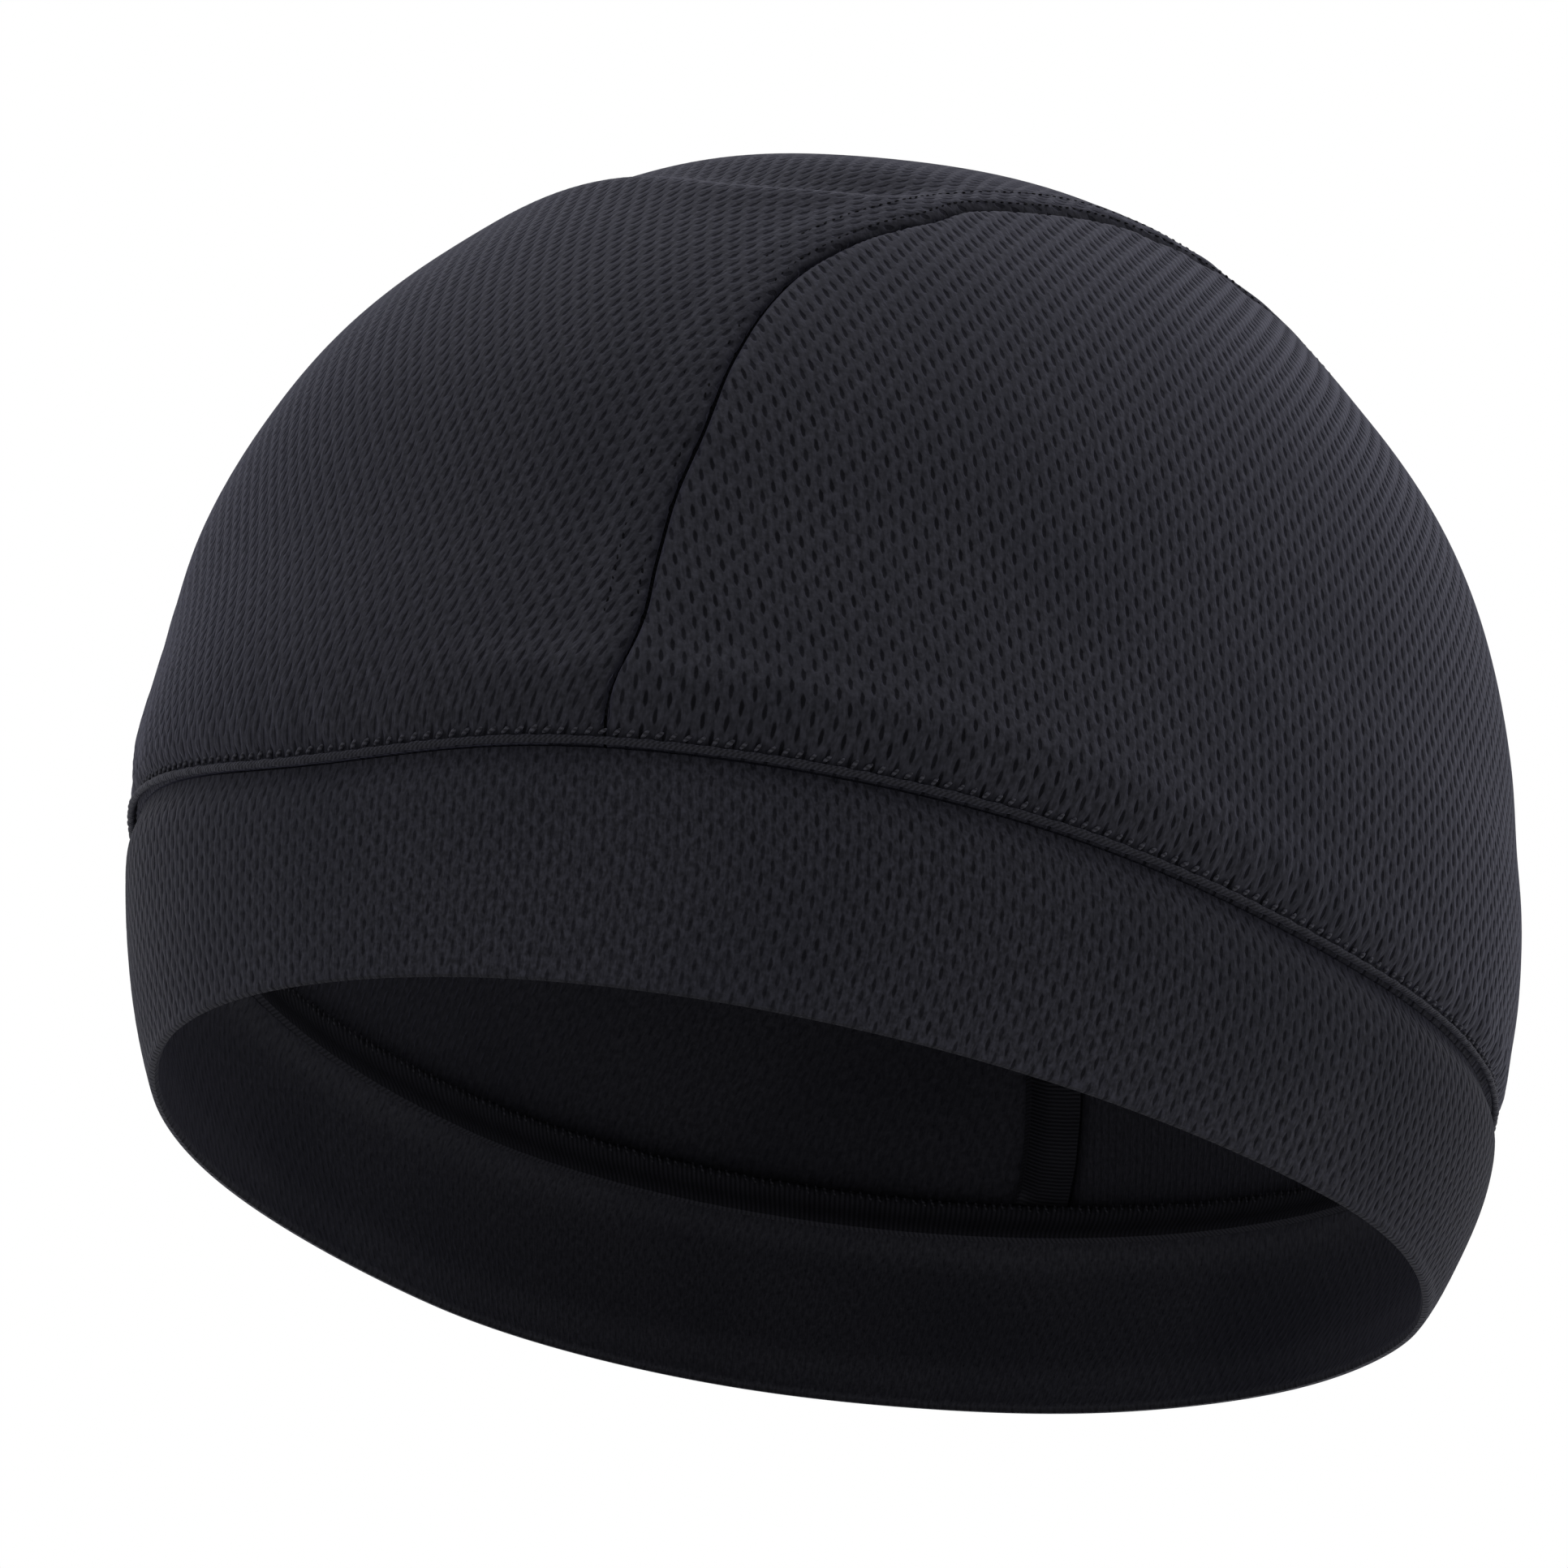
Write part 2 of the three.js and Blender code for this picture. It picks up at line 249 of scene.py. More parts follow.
@dataclass
class CapForm:
    """The smooth form of the worn cap and the relief of the cloth on it."""

    strip_front: float = 42.2
    strip_top: float = 41.7
    strip_back: float = 31.7
    strip_middle: float = -1.7
    drift_reach: float = 16.0
    tuck_depth: float = 1.35
    tuck_width: float = 2.5
    puff_height: float = 1.0
    puff_left: float = 0.7
    puff_peak: float = 8.0
    seam_depth: float = 0.3
    seam_width: float = 0.5
    ridge_height: float = 0.3
    ridge_start: float = 0.4
    ridge_end: float = 5.8
    ridge_slope: float = 1.4
    crest_angle: float = 46.8
    crest_bend: float = 0.03
    dent_middle: float = 20.0
    dent_half: float = 24.0
    dent_clear: float = 9.0
    band_swell: float = 0.5
    fall_beside: Ease = (35.0, 30.0)
    fall_behind: Ease = (-60.0, 60.0)
    least_square: float = 1e-3
    farthest: float = 170.0
    normal_step: float = 0.2

    def __post_init__(self) -> None:
        """Draws smooth curves through the sections' squares."""
        heights = [row.height for row in SECTIONS]
        self.front = SmoothCurve(heights, [row.front**2 for row in SECTIONS])
        self.back = SmoothCurve(heights, [row.back**2 for row in SECTIONS])
        self.side = SmoothCurve(heights, [row.side**2 for row in SECTIONS])

    def side_square(self, height: Array) -> Array:
        """The square of the reach to either side."""
        return np.maximum(self.side(height), self.least_square)

    def length_square(self, y: Array, height: Array) -> Array:
        """The square of the reach along y, in front or behind."""
        square = np.where(y < 0, self.front(height), self.back(height))
        return np.maximum(square, self.least_square)

    def value(self, points: Array) -> Array:
        """Tells the inside from the outside.

        Args:
            points: Any points.

        Returns:
            Numbers below zero inside the form and above zero outside it.
        """
        x, y, z = points.T
        across = x * x / self.side_square(z)
        along = y * y / self.length_square(y, z)
        return across + along - 1 + np.maximum(0, z - CAP_HEIGHT)

    def normal(self, points: Array) -> Array:
        """Finds which way the form faces.

        Args:
            points: Points of the form.

        Returns:
            The outward unit normals there.
        """
        steps = self.normal_step * np.eye(3)
        slopes = [self.value(points + s) - self.value(points - s) for s in steps]
        normal = np.stack(slopes, axis=1)
        return normal / np.linalg.norm(normal, axis=1, keepdims=True)

    def fan(self, x: Array | float, angle: Array) -> Array:
        """Points of the crown on the fan of rays round the line across the band's seam.

        Args:
            x: How far to the wearer's left each ray lies.
            angle: The ray's angle, 0 in front and a right angle straight up.

        Returns:
            The points where the rays leave the form.
        """
        x, angle = np.broadcast_arrays(np.asarray(x, float), np.asarray(angle, float))
        zero = np.zeros_like(x)
        ray = np.stack([zero, -np.cos(angle), np.sin(angle)], axis=1)
        start = np.stack([x, zero, zero + FAN_HEIGHT], axis=1)
        reach = last_inside(lambda run: self.value(start + ray * run[:, None]) < 0,
                            zero, zero + self.farthest)
        return start + ray * reach[:, None]

    def level(self, height: Array | float, angle: Array) -> Array:
        """Points of a level section.

        Args:
            height: The section's height.
            angle: 0 in front and a quarter turn at the wearer's left.

        Returns:
            The points of the form there.
        """
        height, angle = np.broadcast_arrays(np.asarray(height, float), angle)
        reach = self.length_square(-np.cos(angle), height)
        x = np.sqrt(self.side(height)) * np.sin(angle)
        y = -np.sqrt(reach) * np.cos(angle)
        return np.stack([x, y, height], axis=1)

    def strip_half(self, angle: Array) -> Array:
        """Half the width of the centre strip, which sewing leaves uneven.

        Args:
            angle: The fan's angle.

        Returns:
            The half width there.
        """
        end = np.where(angle < math.pi / 2, self.strip_front, self.strip_back)
        uneven = SEAM_WANDER(np.clip(np.degrees(angle), 0, 180))
        return self.strip_top + (end - self.strip_top) * np.cos(angle) ** 2 + uneven

    def seam_reach(self, side: Side, angle: Array) -> Array:
        """How far from the middle of the head a crown seam lies."""
        return self.strip_half(angle) + side.value * self.strip_middle

    def fan_angle(self, points: Array) -> Array:
        """The fan's angle at points of the crown."""
        return np.arctan2(points[:, 2] - FAN_HEIGHT, -points[:, 1])

    def inside_strip(self, points: Array) -> Array:
        """How far points lie inside the centre strip, along x."""
        from_middle = np.abs(points[:, 0] - self.strip_middle)
        return self.strip_half(self.fan_angle(points)) - from_middle

    def edge_relief(self, x: Array, rise: Array) -> Array:
        """How far the crown stands off the form beside the band.

        Args:
            x: How far to the wearer's left.
            rise: The height above the band's seam.

        Returns:
            The puff over the seam, less the tuck into it.
        """
        widest = max(section.side for section in SECTIONS)
        height = self.puff_height + self.puff_left * (np.maximum(0, x) / widest) ** 2
        share = rise / self.puff_peak
        puff = height * share * np.exp(1 - share)
        return puff - self.tuck_depth * bell(rise, self.tuck_width)

    def ridge(self, distance: Array) -> Array:
        """The rise of the strip's edge over the two allowances stitched down under it."""
        up = ramp(distance, self.ridge_start, self.ridge_slope)
        return self.ridge_height * up * ramp(distance, self.ridge_end, -self.ridge_slope)

    def dent(self, x: Array, angle: Array) -> Array:
        """The shallow dent across the strip in front of the top, with a crest before it.

        Args:
            x: How far to the wearer's left.
            angle: The fan's angle.

        Returns:
            How far the cloth stands off the form.
        """
        bend = self.crest_bend * np.maximum(0, x - self.dent_middle) ** 2
        past = np.degrees(angle) - self.crest_angle - bend
        return bell(x - self.dent_middle, self.dent_half) * sum(row.at(past) for row in DENT)

    def cloth_relief(self, points: Array) -> Array:
        """The relief of the crown without its seams and its dent.

        Args:
            points: Points of the smooth form.

        Returns:
            How far the cloth stands off it.
        """
        rise = np.maximum(points[:, 2] - FAN_HEIGHT, 0)
        full = sum(
            spot.amount * bell(np.linalg.norm(points - spot.place, axis=1), spot.reach)
            for spot in FULLNESS
        )
        return self.edge_relief(points[:, 0], rise) + full * (1 - bell(rise, self.tuck_width))

    def crown_relief(self, points: Array) -> Array:
        """The relief of the whole crown.

        Args:
            points: Points of the smooth form.

        Returns:
            How far the cloth stands off it.
        """
        distance = self.inside_strip(points)
        rise = points[:, 2] - FAN_HEIGHT
        seam = -self.seam_depth * bell(distance, self.seam_width)
        dent = self.dent(points[:, 0], self.fan_angle(points))
        dent = dent * ramp(distance, length=self.dent_clear)
        clear_of_band = 1 - bell(rise, self.tuck_width)
        return self.cloth_relief(points) + (seam + self.ridge(distance) + dent) * clear_of_band

    def band_relief(self, height: Array) -> Array:
        """How far the band stands off the form at a height, on its outside."""
        swell = self.band_swell * np.sin(math.pi * height / BAND_TOP)
        return swell - self.tuck_depth * bell(BAND_TOP - height, self.tuck_width)

    def drifted(self, points: Array) -> Array:
        """Slides points up or down on the form, the way that the band's seam drifts.

        Args:
            points: Points of the form.

        Returns:
            The points of the form that they slide to.
        """
        x, y, z = points.T
        side = np.sqrt(self.side_square(z))
        length = np.sqrt(self.length_square(y, z))
        turn = np.degrees(np.arctan2(x / side, -y / length))
        slide = sum(row.at(turn) for row in SEAM_DRIFT)
        height = z + slide * bell(z - BAND_HEIGHT, self.drift_reach)
        wider = np.sqrt(self.side_square(height)) / side
        longer = np.sqrt(self.length_square(y, height)) / length
        return np.stack([x * wider, y * longer, height], axis=1)

    def left_fall(self, points: Array) -> Array:
        """How much fuller, or less full, the crown hangs at the wearer's left.

        Args:
            points: Points of the form.

        Returns:
            How far the cloth stands off it.
        """
        x, y, z = points.T
        drawn = sum(row.at(z) for row in LEFT_FALL)
        return drawn * ramp(x, *self.fall_beside) * ramp(y, *self.fall_behind)

    def off(self, points: Array, offset: Array) -> Array:
        """Lets points follow the seam's drift and moves them along the form's normals.

        Args:
            points: Points of the smooth form.
            offset: How far to move each outwards.

        Returns:
            Where they end.
        """
        foot = self.drifted(points)
        lift = np.asarray(offset) + self.left_fall(points)
        return foot + self.normal(foot) * lift.reshape(-1, 1)


FORM = CapForm()


# Mesh helpers


def to_metres(points: Array) -> Array:
    """Takes points from millimetres above the rim to metres in the part's frame."""
    return (points - np.array([0.0, 0.0, TOP_INSIDE])) * MM


def vertex_places(obj: bpy.types.Object) -> Array:
    """Reads where the vertices of an object are.

    Args:
        obj: The object.

    Returns:
        One row for each vertex.
    """
    places = np.empty(len(obj.data.vertices) * 3)
    obj.data.vertices.foreach_get("co", places)
    return places.reshape(-1, 3)


def move_vertices(obj: bpy.types.Object, places: Array) -> None:
    """Moves the vertices of an object to new places."""
    obj.data.vertices.foreach_set("co", np.ascontiguousarray(places, float).ravel())
    obj.data.update()


def select_only(obj: bpy.types.Object) -> None:
    """Makes an object the one that operators work on.

    Args:
        obj: The object.
    """
    bpy.ops.object.select_all(action="DESELECT")
    obj.select_set(True)
    bpy.context.view_layer.objects.active = obj


def apply_modifier(obj: bpy.types.Object, kind: str, **settings: object) -> None:
    """Adds a modifier, sets it and applies it.

    Args:
        obj: The object.
        kind: The modifier's type.
        **settings: The modifier's own settings.
    """
    select_only(obj)
    modifier = obj.modifiers.new(kind.title(), kind)
    for key, value in settings.items():
        setattr(modifier, key, value)
    bpy.ops.object.modifier_apply(modifier=modifier.name)


def set_uv(obj: bpy.types.Object, uv: Array) -> None:
    """Gives every corner the coordinates of its vertex.

    Args:
        obj: The object.
        uv: One row for each vertex.
    """
    mesh = obj.data
    corner = np.empty(len(mesh.loops), int)
    mesh.loops.foreach_get("vertex_index", corner)
    layer = mesh.uv_layers[0] if mesh.uv_layers else mesh.uv_layers.new(name="UVMap")
    layer.data.foreach_set("uv", uv[corner].astype(float).ravel())


def mark_inside(obj: bpy.types.Object, sharpness: float = 0.7) -> None:
    """Records how far each vertex faces the head, as the attribute that finishes read.

    Args:
        obj: A cloth piece in its final place.
        sharpness: How soon the mark goes from 0 to 1 where the cloth turns over.
    """
    mesh = obj.data
    normals = np.empty(len(mesh.vertices) * 3)
    mesh.vertices.foreach_get("normal", normals)
    places = vertex_places(obj) / MM + np.array([0.0, 0.0, TOP_INSIDE])
    outwards = (normals.reshape(-1, 3) * FORM.normal(places)).sum(axis=1)
    layer = mesh.attributes.new("inside", "FLOAT", "POINT")
    layer.data.foreach_set("value", ramp(0.5 - sharpness * outwards))


def new_grid(name: str, columns: int, rows: int) -> tuple[bpy.types.Object, Array]:
    """Adds a flat grid.

    Args:
        name: The piece's name.
        columns: How many faces it has across.
        rows: How many it has along.

    Returns:
        The object, and each vertex's share of the way across and along, 0 to 1.
    """
    bpy.ops.object.select_all(action="DESELECT")
    bpy.ops.mesh.primitive_grid_add(x_subdivisions=columns, y_subdivisions=rows, size=1)
    obj = bpy.context.object
    obj.name = name
    obj.data.name = name
    return obj, vertex_places(obj)[:, :2] + 0.5


def close_seams(obj: bpy.types.Object) -> None:
    """Merges the edges that meet, and faces the whole piece outwards.

    Args:
        obj: A piece in its final place.
    """
    select_only(obj)
    bpy.ops.object.mode_set(mode="EDIT")
    bpy.ops.mesh.select_all(action="SELECT")
    bpy.ops.mesh.remove_doubles(threshold=0.01 * MM)
    bpy.ops.mesh.normals_make_consistent(inside=False)
    bpy.ops.object.mode_set(mode="OBJECT")


def shade_smooth(obj: bpy.types.Object, degrees: float = 65.0) -> None:
    """Smooths the shading except over sharp edges."""
    select_only(obj)
    bpy.ops.object.shade_smooth_by_angle(angle=math.radians(degrees))


def finish_piece(obj: bpy.types.Object, material: bpy.types.Material) -> None:
    """Gives a finished piece its material, and lets it ride on the part's body.

    Args:
        obj: The piece.
        material: Its finish.
    """
    obj.data.materials.clear()
    obj.data.materials.append(material)
    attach(obj, "root")
    log.info("%s: %d faces", obj.name, len(obj.data.polygons))


def nearest_on_loop(points: Array, loop: Array) -> Array:
    """Finds the nearest points of a closed loop in the plane.

    Args:
        points: Points of the plane.
        loop: The loop's corners in order.

    Returns:
        The point of the loop nearest to each.
    """
    start, end = loop, np.roll(loop, -1, axis=0)
    along = end - start
    square = np.maximum((along**2).sum(axis=1), 1e-12)
    offset = points[:, None, :] - start[None]
    share = np.clip((offset * along).sum(axis=2) / square, 0, 1)
    foot = start + share[..., None] * along
    best = ((points[:, None, :] - foot) ** 2).sum(axis=2).argmin(axis=1)
    return foot[np.arange(len(points)), best]


def inside_loop(points: Array, loop: Array) -> Array:
    """Tells which points of the plane lie inside a closed loop.

    Args:
        points: Points of the plane.
        loop: The loop's corners in order.

    Returns:
        True for each point inside.
    """
    inside = np.zeros(len(points), bool)
    x, y = points.T
    for (x0, y0), (x1, y1) in zip(loop, np.roll(loop, -1, axis=0)):
        if y0 == y1:
            continue
        crosses = (y0 > y) != (y1 > y)
        inside ^= crosses & (x < x0 + (y - y0) * (x1 - x0) / (y1 - y0))
    return inside


# Eyelet cloth


@dataclass(frozen=True)
class Eyelets:
    """The relief of eyelet mesh. Columns and rows count in whole eyelets."""

    rib: float = 0.02
    pit: float = 0.26
    spread: float = 0.06
    half_width: float = 0.25
    half_length: float = 0.24

    @staticmethod
    def along(column: Array, row: Array) -> Array:
        """How far a place is from the next eyelet of a column, along it."""
        shifted = row + 0.5 * np.mod(column, 2)
        return shifted - np.floor(shifted + 0.5)

    def depth(self, uv: Array) -> Array:
        """How deep the cloth lies below its ribs.

        Args:
            uv: Lattice places.

        Returns:
            The depth at each.
        """
        column = np.floor(uv[:, 0] + 0.5)
        across = uv[:, 0] - column
        along = self.along(column, uv[:, 1])
        hole = bell(across, self.half_width) * bell(along, self.half_length)
        groove = (1 + np.cos(TURN * across)) / 2
        return self.rib * groove + self.pit * hole

    def push(self, uv: Array) -> Array:
        """How far the yarns between the columns give way to the eyelets beside them.

        Args:
            uv: Lattice places.

        Returns:
            The way across, in columns.
        """
        left = np.floor(uv[:, 0])
        share = uv[:, 0] - left
        from_left = bell(self.along(left, uv[:, 1]), self.half_length)
        from_right = bell(self.along(left + 1, uv[:, 1]), self.half_length)
        return self.spread * 4 * share * (1 - share) * (from_left - from_right)


EYELETS = Eyelets()


@dataclass(frozen=True)
class Gathers:
    """The small folds that a seam draws into the cloth, as an uneven wave along the seam."""

    height: float
    place: float
    spread: float
    wave: float
    bend: float
    sway: float
    least: float
    swell: float
    start: float = 0.0

    def rise(self, run: Array, distance: Array) -> Array:
        """How high the folds are.

        Args:
            run: The way along the seam.
            distance: The way from the seam.

        Returns:
            Their height there.
        """
        waves = np.sin(run / self.wave + self.bend * np.sin(run / self.sway))
        waves = waves * (self.least + (1 - self.least) * np.sin(run / self.swell + self.start))
        return self.height * waves * bell(distance - self.place, self.spread)


BAND_GATHERS = Gathers(height=0.16, place=4, spread=4.5, wave=1.15, bend=1.7, sway=6.1,
                       least=0, swell=17, start=1)
CROWN_GATHERS = Gathers(height=0.13, place=1.6, spread=1.5, wave=1.9, bend=2.1, sway=7.3,
                        least=0.6, swell=19)


def soft_waves(points: Array, scale: float, count: int = 7) -> Array:
    """Slow uneven waves over space.

    Args:
        points: Where.
        scale: About how long a wave is.
        count: How many waves are laid over each other.

    Returns:
        Heights between about -1 and 1.
    """
    rng = np.random.default_rng(SEED)
    total = np.zeros(len(points))
    for _ in range(count):
        direction = rng.normal(size=3)
        direction /= np.linalg.norm(direction)
        length = scale * rng.uniform(0.7, 1.6)
        phase = rng.uniform(0, TURN)
        total += np.sin(points @ direction * TURN / length + phase)
    return total / (count / 2)


@dataclass
class Pattern:
    """The flat cut of a crown panel, and the way that it lies on the form.

    Flat places are millimetres across and along. Lattice places count eyelets.
    """

    row: float = 3.0

    def outline(self) -> Array:
        """The closed edge of the flat cut."""
        raise NotImplementedError

    def lattice(self, flat: Array) -> Array:
        """From flat places to lattice places."""
        raise NotImplementedError

    def flat(self, lattice: Array) -> Array:
        """From lattice places to flat places."""
        raise NotImplementedError

    def surface(self, flat: Array) -> Array:
        """From flat places to points of the smooth form."""
        raise NotImplementedError


@dataclass
class StripPattern(Pattern):
    """The centre strip. It runs from the band in front over the top to the band behind."""

    row: float = 3.3
    pitch: float = 1.02
    lean: float = math.radians(7.5)
    brow_lean: float = 4.5
    brow_reach: float = 18.0
    samples: int = 721
    edge_samples: int = 700

    def __post_init__(self) -> None:
        """Measures the strip along its middle."""
        self.angles = np.linspace(0, math.pi, self.samples)
        self.runs = lengths_along(FORM.fan(0.0, self.angles))
        self.length = float(self.runs[-1])

    def outline(self) -> Array:
        """Draws the flat cut.

        Returns:
            Its closed edge, up one side and down the other.
        """
        run = np.linspace(0, self.length, self.edge_samples)
        half = FORM.strip_half(np.interp(run, self.runs, self.angles)) - CLOTH_CLEAR
        left = np.stack([FORM.strip_middle + half, run], axis=1)
        right = np.stack([FORM.strip_middle - half, run], axis=1)[::-1]
        return np.concatenate([left, right])

    def leaning(self, along: Array) -> Array:
        """How far the columns have leant over, which is most just above the brow."""
        brow = self.brow_lean * (1 - np.exp(-along / self.brow_reach))
        return (along - self.length / 2) * math.tan(self.lean) + brow

    def lattice(self, flat: Array) -> Array:
        """From flat places to lattice places."""
        across = flat[:, 0] - self.leaning(flat[:, 1])
        return np.stack([across / self.pitch, flat[:, 1] / self.row], axis=1)

    def flat(self, lattice: Array) -> Array:
        """Leaves the lattice.

        Args:
            lattice: Lattice places.

        Returns:
            Their flat places.
        """
        along = lattice[:, 1] * self.row
        across = lattice[:, 0] * self.pitch + self.leaning(along)
        return np.stack([across, along], axis=1)

    def surface(self, flat: Array) -> Array:
        """From flat places to points of the smooth form."""
        angle = np.interp(flat[:, 1], self.runs, self.angles)
        return FORM.fan(flat[:, 0], angle)


@dataclass
class SidePattern(Pattern):
    """A D-shaped side panel. Its columns stand on the band and part a little upwards.

    The cloth is measured along the front-to-back line at a level, and up from the band.
    """

    row: float = 3.4
    side: Side = Side.LEFT
    pitch: float = 1.33
    spread: float = 0.0015
    level: float = 60.0
    middle: float = -40.0
    overlap: float = 2.5
    least_width: float = 20.0
    cloth_step: float = 0.5
    cloth_reach: float = 140.0
    stations: int = 220
    height_samples: int = 300
    edge_samples: int = 120
    seam_samples: int = 900
    base_samples: int = 260

    def __post_init__(self) -> None:
        """Finds the seam and measures the form beside it."""
        angles = np.linspace(0, math.pi, self.seam_samples)
        self.seam = FORM.fan(FORM.seam_reach(self.side, angles) + CLOTH_CLEAR, angles)
        front, back = float(self.seam[0, 1]), float(self.seam[-1, 1])
        self.ys = np.linspace(front - self.overlap, back + self.overlap, self.stations)
        edge = self.width_at(self.ys, self.level)
        self.us = lengths_along(np.stack([edge, self.ys], axis=1))
        self.u_middle = float(np.interp(self.middle, self.ys, self.us))
        self.vs = np.arange(0, self.cloth_reach, self.cloth_step)
        self.heights = self.height_table()

    def width_at(self, y: Array | float, z: Array | float) -> Array:
        """How far the form reaches to the side at a place along and a height."""
        share = 1 - y * y / FORM.length_square(y, z)
        return np.sqrt(np.maximum(FORM.side(z) * share, 0))

    def height_table(self) -> Array:
        """Tabulates the heights that the cloth reaches.

        Returns:
            A row for each station and a column for each step of cloth.
        """
        tops = last_inside(lambda z: self.width_at(self.ys, z) > self.least_width,
                           np.full(self.stations, FAN_HEIGHT), np.full(self.stations, CAP_HEIGHT))
        rows = []
        for y, top in zip(self.ys, tops):
            z = FAN_HEIGHT + np.linspace(0, 1, self.height_samples) * (top - FAN_HEIGHT)
            run = lengths_along(np.stack([self.width_at(y, z), z], axis=1))
            rows.append(np.interp(self.vs, run, z))
        return np.array(rows)

    def height_at(self, y: Array, v: Array) -> Array:
        """Reads the table of heights.

        Args:
            y: The place along the head.
            v: The length of cloth up from the band.

        Returns:
            The height that the cloth has reached.
        """
        i = np.clip((y - self.ys[0]) / (self.ys[1] - self.ys[0]), 0, len(self.ys) - 1.001)
        j = np.clip(v / self.cloth_step, 0, len(self.vs) - 1.001)
        a, b = i.astype(int), j.astype(int)
        s, t = i - a, j - b
        low = self.heights[a, b] * (1 - t) + self.heights[a, b + 1] * t
        high = self.heights[a + 1, b] * (1 - t) + self.heights[a + 1, b + 1] * t
        return low * (1 - s) + high * s

    def outline(self) -> Array:
        """Draws the flat cut.

        Returns:
            Its closed edge, along the seam and back along the band.
        """
        seam_v = []
        for point in self.seam:
            z = np.linspace(FAN_HEIGHT, max(point[2], FAN_HEIGHT), self.edge_samples)
            seam_v.append(lengths_along(np.stack([self.width_at(point[1], z), z], axis=1))[-1])
        seam = np.stack([np.interp(self.seam[:, 1], self.ys, self.us), seam_v], axis=1)
        base_u = np.linspace(seam[-1, 0], seam[0, 0], self.base_samples)[1:-1]
        base = np.stack([base_u, np.zeros(len(base_u))], axis=1)
        return np.concatenate([seam, base])

    def lattice(self, flat: Array) -> Array:
        """Enters the lattice.

        Args:
            flat: Flat places.

        Returns:
            Their lattice places.
        """
        scale = self.pitch * (1 + self.spread * flat[:, 1])
        across = (flat[:, 0] - self.u_middle) / scale
        return np.stack([across, flat[:, 1] / self.row], axis=1)

    def flat(self, lattice: Array) -> Array:
        """Leaves the lattice.

        Args:
            lattice: Lattice places.

        Returns:
            Their flat places.
        """
        along = lattice[:, 1] * self.row
        across = lattice[:, 0] * self.pitch * (1 + self.spread * along) + self.u_middle
        return np.stack([across, along], axis=1)

    def surface(self, flat: Array) -> Array:
        """Bends the cloth onto the form.

        Args:
            flat: Flat places.

        Returns:
            Their points of the smooth form.
        """
        y = np.interp(flat[:, 0], self.us, self.ys)
        z = self.height_at(y, flat[:, 1])
        return np.stack([self.side.value * self.width_at(y, z), y, z], axis=1)


